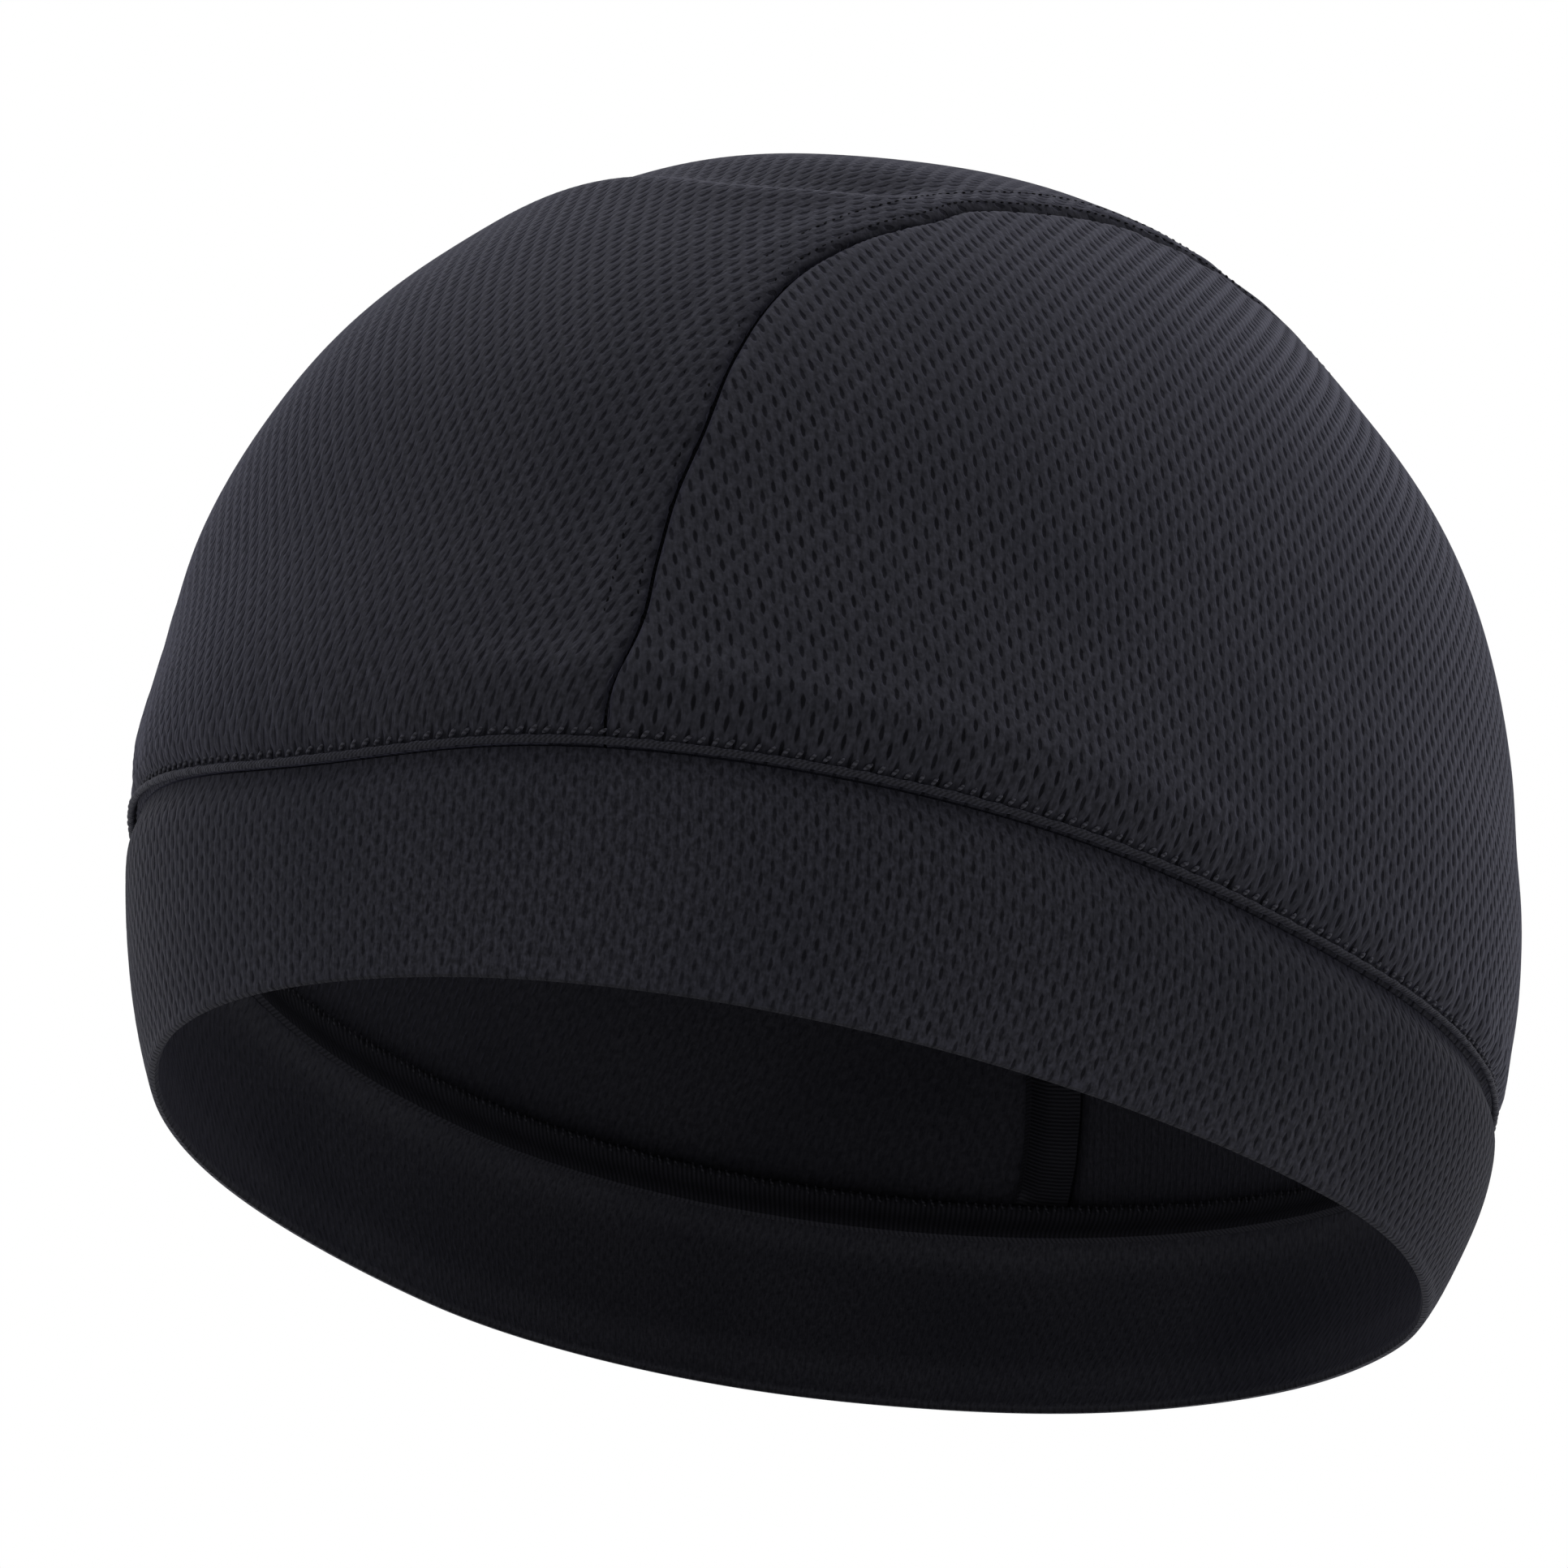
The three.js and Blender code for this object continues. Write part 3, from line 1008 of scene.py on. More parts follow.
@dataclass
class CrownPanel:
    """One cloth panel of the crown, cut, laid on the form and given its wall."""

    name: str
    node: str
    pattern: Pattern
    columns_per_eyelet: int
    sewn_on: tuple[str, ...] = ()
    rows_per_eyelet: int = 4
    inner_share: float = 0.2
    merge: float = 0.12
    plain_edge: float = 1.5
    fine_edge: float = 0.9
    eyelets_from_band: Ease = (0.6, 1.6)
    eyelets_from_seam: Ease = (0.3, 0.4)
    ripple: Swell = Swell(7.4, 3.8, 1.1)
    ripple_behind: Ease = (15.0, -40.0)
    ripple_beside: Ease = (52.0, 22.0)
    ripple_lower: float = 0.5
    uneven: float = 0.28
    uneven_scale: float = 46.0
    gathers_clear: float = 6.0
    uneven_clear: float = 12.0
    uneven_beside: float = 8.0
    groove_clear: float = 3.0
    seam_groove: float = 0.8
    seam_groove_top: float = 0.5
    groove_half: float = 0.32
    groove_half_top: float = 0.28
    top: Ease = (72.0, 28.0)

    def cut(self) -> bpy.types.Object:
        """Cuts the flat cloth from a grid that follows the eyelets.

        Returns:
            The cut, with its flat places as vertices.
        """
        loop = self.pattern.outline()
        corners = self.pattern.lattice(loop)
        step = np.array([1 / self.columns_per_eyelet, 1 / self.rows_per_eyelet])
        low = np.floor(corners.min(axis=0) / step - 1)
        high = np.ceil(corners.max(axis=0) / step + 1)
        count = (high - low).astype(int)
        obj, share = new_grid(self.name, int(count[0]), int(count[1]))
        flat = self.pattern.flat((low + share * count) * step + np.array([0, step[1] / 2]))
        inside = inside_loop(flat, loop)
        faces = np.empty(len(obj.data.loops), int)
        obj.data.loops.foreach_get("vertex_index", faces)
        faces = faces.reshape(-1, 4)
        keep = inside[faces].any(axis=1)
        border = np.zeros(len(flat), bool)
        border[faces[keep].ravel()] = True
        border &= ~inside
        flat[border] = nearest_on_loop(flat[border], loop)
        move_vertices(obj, np.column_stack([flat, np.zeros(len(flat))]))
        self.delete_faces(obj, ~keep)
        return obj

    def delete_faces(self, obj: bpy.types.Object, unwanted: Array) -> None:
        """Deletes faces and merges what the cut has left too close together.

        Args:
            obj: The flat grid.
            unwanted: True for each face to delete.
        """
        select_only(obj)
        bpy.context.tool_settings.mesh_select_mode = (False, False, True)
        for items in (obj.data.vertices, obj.data.edges):
            items.foreach_set("select", np.zeros(len(items), bool))
        obj.data.polygons.foreach_set("select", unwanted)
        bpy.ops.object.mode_set(mode="EDIT")
        bpy.ops.mesh.delete(type="FACE")
        bpy.ops.mesh.select_mode(type="VERT")
        bpy.ops.mesh.select_all(action="SELECT")
        bpy.ops.mesh.remove_doubles(threshold=self.merge)
        bpy.ops.object.mode_set(mode="OBJECT")

    def relief(self, points: Array, uv: Array) -> Array:
        """The relief of the cloth, with its eyelets, gathers and soft unevenness.

        Args:
            points: Points of the smooth form.
            uv: Their lattice places.

        Returns:
            How far the cloth's face stands off the form.
        """
        x, y, z = points.T
        rise = z - FAN_HEIGHT
        seam = np.abs(FORM.inside_strip(points))
        clear = ramp(rise, *self.eyelets_from_band) * ramp(seam, *self.eyelets_from_seam)
        gathers = BAND_GATHERS.rise(np.arctan2(x, -y) * LEVEL_RADIUS, rise)
        drawn = CROWN_GATHERS.rise(FORM.fan_angle(points) * FAN_RADIUS, seam)
        gathers += drawn * ramp(rise, length=self.gathers_clear)
        lower = 1 - self.ripple_lower / self.ripple.height * ramp(x, *self.ripple_beside)
        front_left = ramp(x, *LEFT_FRONT) * ramp(y, *self.ripple_behind)
        gathers += self.ripple.at(rise) * lower * front_left
        uneven = self.uneven * soft_waves(points, self.uneven_scale)
        uneven *= ramp(rise, length=self.uneven_clear) * ramp(seam, length=self.uneven_beside)
        high = ramp(rise, *self.top)
        half = self.groove_half + self.groove_half_top * high
        groove = (self.seam_groove + self.seam_groove_top * high) * bell(seam, half)
        dive = groove * ramp(rise, length=self.groove_clear)
        return FORM.crown_relief(points) + gathers + uneven - dive - EYELETS.depth(uv) * clear

    def build(self, material: bpy.types.Material) -> None:
        """Makes the whole panel.

        Args:
            material: Its finish.
        """
        obj = self.cut()
        flat = vertex_places(obj)[:, :2]
        uv = self.pattern.lattice(flat)
        set_uv(obj, uv)
        points = self.pattern.surface(flat)
        pushed = self.pattern.flat(uv + np.stack([EYELETS.push(uv), np.zeros(len(uv))], axis=1))
        seam = np.abs(FORM.inside_strip(points))
        free = (seam > self.plain_edge) & (points[:, 2] > FAN_HEIGHT + self.plain_edge)
        surface = np.where(free[:, None], self.pattern.surface(pushed), points)
        outer = FORM.off(surface, self.relief(points, uv))
        inner = FORM.off(points, FORM.crown_relief(points) - CROWN_WALL)
        apply_modifier(obj, "SOLIDIFY", thickness=0.5, offset=-1)
        move_vertices(obj, to_metres(np.concatenate([outer, inner])))
        self.thin_out_inside(obj, np.minimum(seam, points[:, 2] - FAN_HEIGHT))
        close_seams(obj)
        mark_inside(obj)
        shade_smooth(obj)
        finish_piece(obj, material)
        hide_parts(self.node)
        self.declare()

    def thin_out_inside(self, obj: bpy.types.Object, from_edge: Array) -> None:
        """Leaves the inner face with fewer triangles, because it has no eyelets.

        Args:
            obj: The panel with its wall, whose inner face comes second.
            from_edge: How far each vertex of one face is from the panel's edge.
        """
        inner = np.flatnonzero(from_edge >= self.fine_edge) + len(from_edge)
        coarse = obj.vertex_groups.new(name="inner")
        coarse.add(inner.tolist(), 1.0, "REPLACE")
        ratio = (1 + self.inner_share) / 2
        apply_modifier(obj, "DECIMATE", ratio=ratio, vertex_group="inner")
        obj.vertex_groups.clear()

    def declare(self) -> None:
        """Works out the edge of the flat cut in metres, which nothing then uses.
        """
        loop = self.pattern.outline() * MM


@dataclass
class Band:
    """The doubled band, folded at the rim. Its columns stand upright round the head."""

    columns: int = 440
    row: float = 2.85
    lines_per_eyelet: int = 3
    steps: int = 74
    denser: float = 0.008
    densest: float = 0.172
    lean: float = 0.2
    rim_wall: float = 1.2
    rim_ease: float = 7.0
    down_steps: int = 200
    fold_steps: int = 38
    plain_fold: Ease = (1.2, 1.2)
    plain_top: Ease = (0.8, 1.4)
    outer_depth: float = 0.8
    inner_depth: float = -0.32
    uneven: float = 0.22
    uneven_scale: float = 52.0
    flare: Swell = Swell(0, 7, 0.85)
    flare_middle: tuple[float, float] = (56.0, 44.0)
    flare_reach: float = 20.0
    waves_clear: float = 8.0
    rim_samples: int = 400
    sewn_on: tuple[str, ...] = ("rolled_rib", "cover_stitches", "band_allowance",
                                "overlock_stitches")

    def section(self) -> tuple[Array, Array]:
        """The band's section, down the outside, round the fold, up the inside and across.

        Returns:
            Heights above the rim and offsets from the form, closed at the top.
        """
        fold = self.rim_wall / 2
        down = np.linspace(BAND_TOP, fold, self.down_steps)
        wall = self.rim_wall + (BAND_WALL - self.rim_wall) * ramp(down, fold, self.rim_ease)
        turn = np.linspace(0, math.pi, self.fold_steps + 2)[1:-1]
        height = np.concatenate([down, fold * (1 - np.sin(turn)), down[::-1],
                                 [BAND_TOP, BAND_TOP]])
        outside = FORM.band_relief(down)
        offset = np.concatenate([
            outside,
            outside[-1] - fold * (1 - np.cos(turn)),
            (outside - wall)[::-1],
            [outside[0] - BAND_WALL / 2, outside[0]],
        ])
        return height, offset

    def build(self, material: bpy.types.Material) -> None:
        """Makes the band as one closed ring.

        Args:
            material: Its finish.
        """
        obj, share = new_grid("band_cloth", self.columns * self.lines_per_eyelet, self.steps)
        height, offset = self.section()
        run = lengths_along(np.stack([height, offset], axis=1))
        cloth = run[-3]
        stops = np.concatenate([np.linspace(0, cloth, self.steps - 1), run[-2:]])
        at = stops[np.rint(share[:, 1] * self.steps).astype(int)]
        z = np.interp(at, run, height)
        uv = np.stack([share[:, 0] * self.columns, at / self.row], axis=1)
        crowded = np.sin(2 * TURN * (share[:, 0] - self.densest))
        angle = (share[:, 0] - self.denser * crowded) * TURN
        lean = self.lean * np.cos(angle + TURN / 8) * (z - BAND_HEIGHT / 2) / LEVEL_RADIUS
        points = FORM.level(z, angle + lean + EYELETS.push(uv) * TURN / self.columns)
        fold_at = run[self.down_steps + self.fold_steps // 2]
        from_top = np.minimum(at, np.abs(cloth - at))
        clear = ramp(np.abs(at - fold_at), *self.plain_fold) * ramp(from_top, *self.plain_top)
        depth = np.where(at > fold_at, self.inner_depth, self.outer_depth)
        relief = EYELETS.depth(uv) * clear * depth
        waves = self.uneven * soft_waves(points, self.uneven_scale)
        waves *= ramp(from_top, length=self.waves_clear)
        from_flare = np.hypot(*(points[:, :2] - self.flare_middle).T)
        flare = self.flare.at(z) * bell(from_flare, self.flare_reach)
        set_uv(obj, uv)
        off = np.interp(at, run, offset) - relief + waves + flare
        move_vertices(obj, to_metres(FORM.off(points, off)))
        close_seams(obj)
        mark_inside(obj)
        shade_smooth(obj)
        finish_piece(obj, material)
        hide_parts("band")
        middle = FORM.level(BAND_HEIGHT / 2, np.linspace(0, TURN, self.rim_samples))


# Trim


@dataclass
class Rib:
    """The rolled edge that stands in the groove between crown and band."""

    radius: float = 0.44
    rise: float = 0.5
    sink: float = 0.2
    around: int = 1500
    sides: int = 12
    length: float = 560.0
    stitch: float = 2.4
    pinch: float = 0.09
    twist: float = 0.8
    lump: float = 0.08
    lump_sway: float = 3.0
    lump_waves: tuple[int, int] = (97, 31)
    stray: float = 0.04
    stray_waves: tuple[int, int] = (23, 7)
    deeper: float = 0.5
    deeper_beside: Ease = (-58.0, -16.0)
    girth: float = 3.8

    def build(self, material: bpy.types.Material) -> None:
        """Makes the rib as one closed ring.

        Args:
            material: Its finish.
        """
        obj, share = new_grid("rolled_rib", self.around, self.sides)
        angle, turn = (share * TURN).T
        count = round(self.length / self.stitch)
        pinch = self.pinch * np.cos(angle * count + self.twist * np.cos(turn))
        many, few = self.lump_waves
        lumps = self.lump * np.sin(angle * many + self.lump_sway * np.sin(angle * few))
        radius = self.radius * (1 + pinch + lumps)
        points = FORM.level(BAND_HEIGHT + self.rise - radius * np.sin(turn), angle)
        many, few = self.stray_waves
        stray = self.stray * np.sin(angle * many) * np.sin(angle * few)
        deeper = self.deeper * ramp(points[:, 0], *self.deeper_beside)
        set_uv(obj, share * (self.length, self.girth))
        off = radius * np.cos(turn) - self.sink - deeper + stray
        move_vertices(obj, to_metres(FORM.off(points, off)))
        close_seams(obj)
        shade_smooth(obj)
        finish_piece(obj, material)
        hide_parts("band_seam_rib")


@dataclass
class BandAllowance:
    """The overlocked edges of band and crown, turned up inside the crown."""

    below: float = 0.6
    above: float = 5.6
    thickness: float = 1.1
    around: int = 720
    sides: int = 14
    clear: float = 0.12
    wave: float = 0.12
    waves: int = 61
    cloth: tuple[float, float] = (424.0, 4.6)

    def section(self, share: Array) -> tuple[Array, Array]:
        """Goes round the section, up the outside, over the rounded edge and down the inside.

        Args:
            share: Shares 0 to 1 of the way round.

        Returns:
            Rises above the seam and offsets from the outside.
        """
        low, high, thick = -self.below, self.above, self.thickness
        stops = [0, 0.42, 0.5, 0.58, 0.94, 1]
        rise = np.interp(share, stops, [low, high, high + 0.3, high, low, low])
        depth = np.interp(share, stops, [0, 0, -thick / 2, -thick, -thick, 0])
        return rise, depth

    def build(self, material: bpy.types.Material) -> None:
        """Makes the allowance as one closed ring.

        Args:
            material: Its finish.
        """
        obj, share = new_grid("band_allowance", self.around, self.sides)
        angle = share[:, 0] * TURN
        rise, depth = self.section(share[:, 1])
        points = FORM.level(FAN_HEIGHT + rise, angle)
        waves = self.wave * np.sin(angle * self.waves) * ramp(rise, length=self.above)
        offset = FORM.cloth_relief(points) - BAND_WALL - GAP + depth - self.clear + waves
        set_uv(obj, share * self.cloth)
        move_vertices(obj, to_metres(FORM.off(points, offset)))
        close_seams(obj)
        shade_smooth(obj)
        finish_piece(obj, material)
        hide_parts("band_seam_allowance")


@dataclass
class CrownAllowance:
    """The allowance of a crown seam, pressed towards the centre strip on the inside."""

    side: Side
    node: str
    width: float = 7.2
    past_seam: float = 1.0
    thickness: float = 0.9
    clear: float = 3.2
    columns: int = 8
    rows: int = 260
    wave: float = 0.1
    waves: int = 31
    lift: float = 0.1
    dip_from_band: Ease = (6.2, 2.0)
    dip_width: float = 0.9
    stitch: float = 1.1
    end_samples: int = 1441
    length_samples: int = 300

    def ends(self) -> tuple[float, float]:
        """Finds where the allowance starts and ends, over the upper edge of the band's.

        Returns:
            The two angles on the fan.
        """
        angles = np.linspace(0, math.pi, self.end_samples)
        inside = angles[self.seam_line(angles)[:, 2] > FAN_HEIGHT + self.clear]
        return float(inside[0]), float(inside[-1])

    def seam_line(self, angle: Array, distance: Array | float = 0.0) -> Array:
        """Points of the form at a distance from the seam, towards the middle of the strip."""
        return FORM.fan(self.side.value * (FORM.seam_reach(self.side, angle) - distance), angle)

    def build(self, material: bpy.types.Material) -> None:
        """Makes the allowance as a closed strip.

        Args:
            material: Its finish.
        """
        name = f"{self.side.name.lower()}_allowance"
        obj, share = new_grid(name, self.columns, self.rows)
        first, last = self.ends()
        free = 1 - share[:, 0]
        from_seam = self.width * free - self.past_seam
        points = self.seam_line(first + (last - first) * share[:, 1], from_seam)
        line = self.seam_line(np.linspace(first, last, self.length_samples))
        length = float(lengths_along(line)[-1])
        set_uv(obj, np.stack([share[:, 1] * length / self.stitch, share[:, 0] * 2], axis=1))
        waves = self.wave * np.sin(share[:, 1] * TURN * self.waves) * free
        above_band = ramp(points[:, 2] - FAN_HEIGHT, *self.dip_from_band)
        dip = above_band * bell(from_seam, self.dip_width)
        depth = FORM.crown_relief(points) - CROWN_WALL - GAP - self.lift - dip
        outer = FORM.off(points, depth - waves * 0.5)
        inner = FORM.off(points, depth - self.thickness - waves)
        apply_modifier(obj, "SOLIDIFY", thickness=0.5 * MM, offset=-1)
        move_vertices(obj, to_metres(np.concatenate([outer, inner])))
        close_seams(obj)
        shade_smooth(obj)
        finish_piece(obj, material)
        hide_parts(self.node)


@dataclass(frozen=True)
class Stitch:
    """One visible length of thread, its slant in degrees, and how far off the next one is."""

    length: float
    width: float
    height: float
    slant: float
    pitch: float


COVER_STITCH = Stitch(1.3, 0.52, 0.52, 50, 1.6)
TOPSTITCH = Stitch(0.8, 0.3, 0.2, 8, 1.5)
OVERLOCK_STITCH = Stitch(1.5, 0.42, 0.3, 66, 1.25)


@dataclass
class StitchRow:
    """A row of stitches along a line on the form."""

    name: str
    points: Array
    offsets: Array
    stitch: Stitch
    closed: bool = False
    uneven_size: float = 0.06
    uneven_slant: float = 7.0
    reach: float = 0.3
    apart_in_uv: float = 3.0

    def stations(self) -> tuple[Array, Array, Array]:
        """Places the stitches evenly.

        Returns:
            Their places, the direction of the row and the normal there.
        """
        line = FORM.off(self.points, self.offsets)
        run = lengths_along(line)
        count = max(2, round(run[-1] / self.stitch.pitch))
        share = np.arange(count) + (0 if self.closed else 0.5)
        at = share * run[-1] / count

        def places(where: Array) -> Array:
            """Points of the line at a run along it."""
            return np.stack([np.interp(where, run, axis) for axis in line.T], axis=1)

        normal = FORM.normal(places(at))
        along = places(at + self.reach) - places(at - self.reach)
        along -= normal * (along * normal).sum(axis=1, keepdims=True)
        along /= np.linalg.norm(along, axis=1, keepdims=True)
        return places(at), along, normal

    def bead(self) -> tuple[Array, list[tuple[int, ...]]]:
        """Takes one stitch from a sphere.

        Returns:
            Its vertices, longest along x, and its faces.
        """
        bpy.ops.object.select_all(action="DESELECT")
        bpy.ops.mesh.primitive_uv_sphere_add(segments=6, ring_count=5, radius=0.5)
        sphere = bpy.context.object
        size = (self.stitch.length, self.stitch.width, self.stitch.height)
        shape = vertex_places(sphere)[:, [2, 0, 1]] * size
        faces = [tuple(face.vertices) for face in sphere.data.polygons]
        bpy.data.objects.remove(sphere)
        return shape, faces

    def build(self, material: bpy.types.Material, slot: Slot) -> None:
        """Makes all the stitches of the row as one joined mesh.

        Args:
            material: Their finish.
            slot: Not used.
        """
        shape, faces = self.bead()
        place, along, normal = self.stations()
        side = np.cross(normal, along)
        rng = np.random.default_rng(SEED)
        count = len(place)
        turn = np.radians(self.stitch.slant + rng.normal(0, self.uneven_slant, count))
        size = 1 + rng.normal(0, self.uneven_size, count)
        first = along * np.cos(turn)[:, None] + side * np.sin(turn)[:, None]
        second = np.cross(normal, first)
        axes = np.stack([first, second, normal], axis=1) * size[:, None, None]
        vertices = np.einsum("vk,nkd->nvd", shape, axes) + place[:, None, :]
        vertices = to_metres(vertices.reshape(-1, 3))
        mesh = bpy.data.meshes.new(self.name)
        index = [tuple(v + k * len(shape) for v in face) for k in range(count) for face in faces]
        mesh.from_pydata(vertices.tolist(), [], index)
        obj = bpy.data.objects.new(self.name, mesh)
        bpy.context.scene.collection.objects.link(obj)
        uv = np.tile(shape[:, :2], (count, 1))
        uv[:, 0] += np.repeat(np.arange(count) * self.apart_in_uv, len(shape))
        set_uv(obj, uv)
        close_seams(obj)
        shade_smooth(obj, 80)
        finish_piece(obj, material)


@dataclass(frozen=True)
class StitchLines:
    """The lines that the rows of stitches follow, as points of the form and offsets from it."""

    ring_samples: int = 1500
    seam_samples: int = 900
    seam_end: float = 0.035
    seam_sink: float = 0.04
    pulled: float = 0.14
    pulled_below: Ease = (85.0, 25.0)

    def ring(self, rise: float, offset: float) -> tuple[Array, Array]:
        """A line round the crown, at a rise above the band's seam and off the crown's face."""
        points = FORM.level(FAN_HEIGHT + rise, np.linspace(0, TURN, self.ring_samples))
        return points, FORM.cloth_relief(points) + offset

    def seam(self, side: Side, inside: float) -> tuple[Array, Array]:
        """A line along a crown seam, pulled deeper into the cloth below the top.

        Args:
            side: The seam's side.
            inside: How far inside the strip it runs.

        Returns:
            Points of the form, and offsets from it.
        """
        angle = np.linspace(self.seam_end, math.pi - self.seam_end, self.seam_samples)
        points = FORM.fan(side.value * (FORM.seam_reach(side, angle) - inside), angle)
        sunk = self.pulled * (1 - ramp(points[:, 2], *self.pulled_below))
        return points, FORM.crown_relief(points) - self.seam_sink - sunk


# Finishes


Colour = tuple[float, float, float, float]
Input = Union[float, tuple, bpy.types.NodeSocket, "Value"]


def operator(operation: str, swapped: bool = False) -> Callable[["Value", Input], "Value"]:
    """Makes a method that adds a maths node with the value and another input.

    Args:
        operation: The node's operation.
        swapped: Whether the other input comes first.

    Returns:
        The method.
    """

    def apply(value: "Value", other: Input) -> "Value":
        """The value and the other input, put together."""
        return value.graph.math(operation, *((other, value) if swapped else (value, other)))

    return apply


class Value:
    """A number in a shader, which ordinary operators work on."""

    __add__ = operator("ADD")
    __radd__ = operator("ADD", swapped=True)
    __sub__ = operator("SUBTRACT")
    __rsub__ = operator("SUBTRACT", swapped=True)
    __mul__ = operator("MULTIPLY")
    __rmul__ = operator("MULTIPLY", swapped=True)
    __truediv__ = operator("DIVIDE")
    __mod__ = operator("MODULO")
    __pow__ = operator("POWER")

    def __init__(self, graph: "Graph", socket: bpy.types.NodeSocket) -> None:
        """Wraps a socket of a graph."""
        self.graph = graph
        self.socket = socket

    def floor(self) -> "Value":
        """The whole number below."""
        return self.graph.math("FLOOR", self)

    def wrap(self) -> "Value":
        """The distance from the nearest whole number, with its sign."""
        return self - (self + 0.5).floor()

    def cosine(self) -> "Value":
        """The cosine of an angle in radians."""
        return self.graph.math("COSINE", self)

    def absolute(self) -> "Value":
        """The size without the sign."""
        return self.graph.math("ABSOLUTE", self)

    def step(self, low: float, high: float) -> "Value":
        """A smooth step.

        Args:
            low: Where it is 0.
            high: Where it is 1, which may be below low.

        Returns:
            The step's value.
        """
        inputs = {"Value": self, "From Min": low, "From Max": high}
        return self.graph.value("ShaderNodeMapRange", inputs, "Result",
                                interpolation_type="SMOOTHSTEP")


class Graph:
    """Builds the nodes of one material, or of the world."""

    def __init__(self, owner: bpy.types.Material | bpy.types.World) -> None:
        """Starts with an empty tree.

        Args:
            owner: The material or the world.
        """
        owner.use_nodes = True
        self.owner = owner
        self.tree = owner.node_tree
        self.tree.nodes.clear()

    def node(self, kind: str, inputs: dict | None = None, **settings: object) -> bpy.types.Node:
        """Adds a node.

        Args:
            kind: The node's type name.
            inputs: What goes into its sockets, by their names or numbers.
            **settings: Its own settings.

        Returns:
            The new node.
        """
        node = self.tree.nodes.new(kind)
        for key, setting in settings.items():
            setattr(node, key, setting)
        for key, value in (inputs or {}).items():
            socket = node.inputs[key]
            source = value.socket if isinstance(value, Value) else value
            if isinstance(source, bpy.types.NodeSocket):
                self.tree.links.new(source, socket)
            else:
                socket.default_value = source
        return node

    def value(self, kind: str, inputs: dict, output: str | int, **settings: object) -> Value:
        """Adds a node and wraps one of its outputs."""
        return Value(self, self.node(kind, inputs, **settings).outputs[output])

    def math(self, operation: str, *terms: Input) -> Value:
        """Adds a maths node."""
        return self.value("ShaderNodeMath", dict(enumerate(terms)), 0, operation=operation)

    def mix(self, factor: Input, first: Input, second: Input) -> bpy.types.NodeSocket:
        """Mixes two colours."""
        inputs = {0: factor, 6: first, 7: second}
        return self.node("ShaderNodeMix", inputs, data_type="RGBA").outputs[2]

    def split(self, vector: Input) -> list[Value]:
        """The three numbers of a vector."""
        node = self.node("ShaderNodeSeparateXYZ", {"Vector": vector})
        return [Value(self, output) for output in node.outputs]

    def plane(self, x: Input, y: Input) -> bpy.types.NodeSocket:
        """A vector of two numbers."""
        return self.node("ShaderNodeCombineXYZ", {0: x, 1: y}).outputs[0]

    def noise(self, vector: Input, scale: float, detail: float = 2.0) -> Value:
        """Smooth noise over a vector."""
        inputs = {"Vector": vector, "Scale": scale, "Detail": detail}
        return self.value("ShaderNodeTexNoise", inputs, "Fac")

    def bump(self, height: Value, strength: float, distance: float) -> bpy.types.NodeSocket:
        """The normal of a fine relief, for a height of 1 at a distance in metres."""
        inputs = {"Strength": strength, "Distance": distance, "Height": height}
        return self.node("ShaderNodeBump", inputs).outputs[0]

    def surface(self, **inputs: Input) -> bpy.types.Material:
        """Ends the material with a surface.

        Args:
            **inputs: What goes into its sockets, by their names in small letters.

        Returns:
            The material.
        """
        named = {key.replace("_", " ").title().replace("Ior", "IOR"): value
                 for key, value in inputs.items()}
        return self.end(self.node("ShaderNodeBsdfPrincipled", named), "ShaderNodeOutputMaterial")

    def end(self, shader: bpy.types.Node, kind: str) -> bpy.types.Material | bpy.types.World:
        """Ends the tree with its last node and gives its owner."""
        self.node(kind, {"Surface": shader.outputs[0]})
        return self.owner


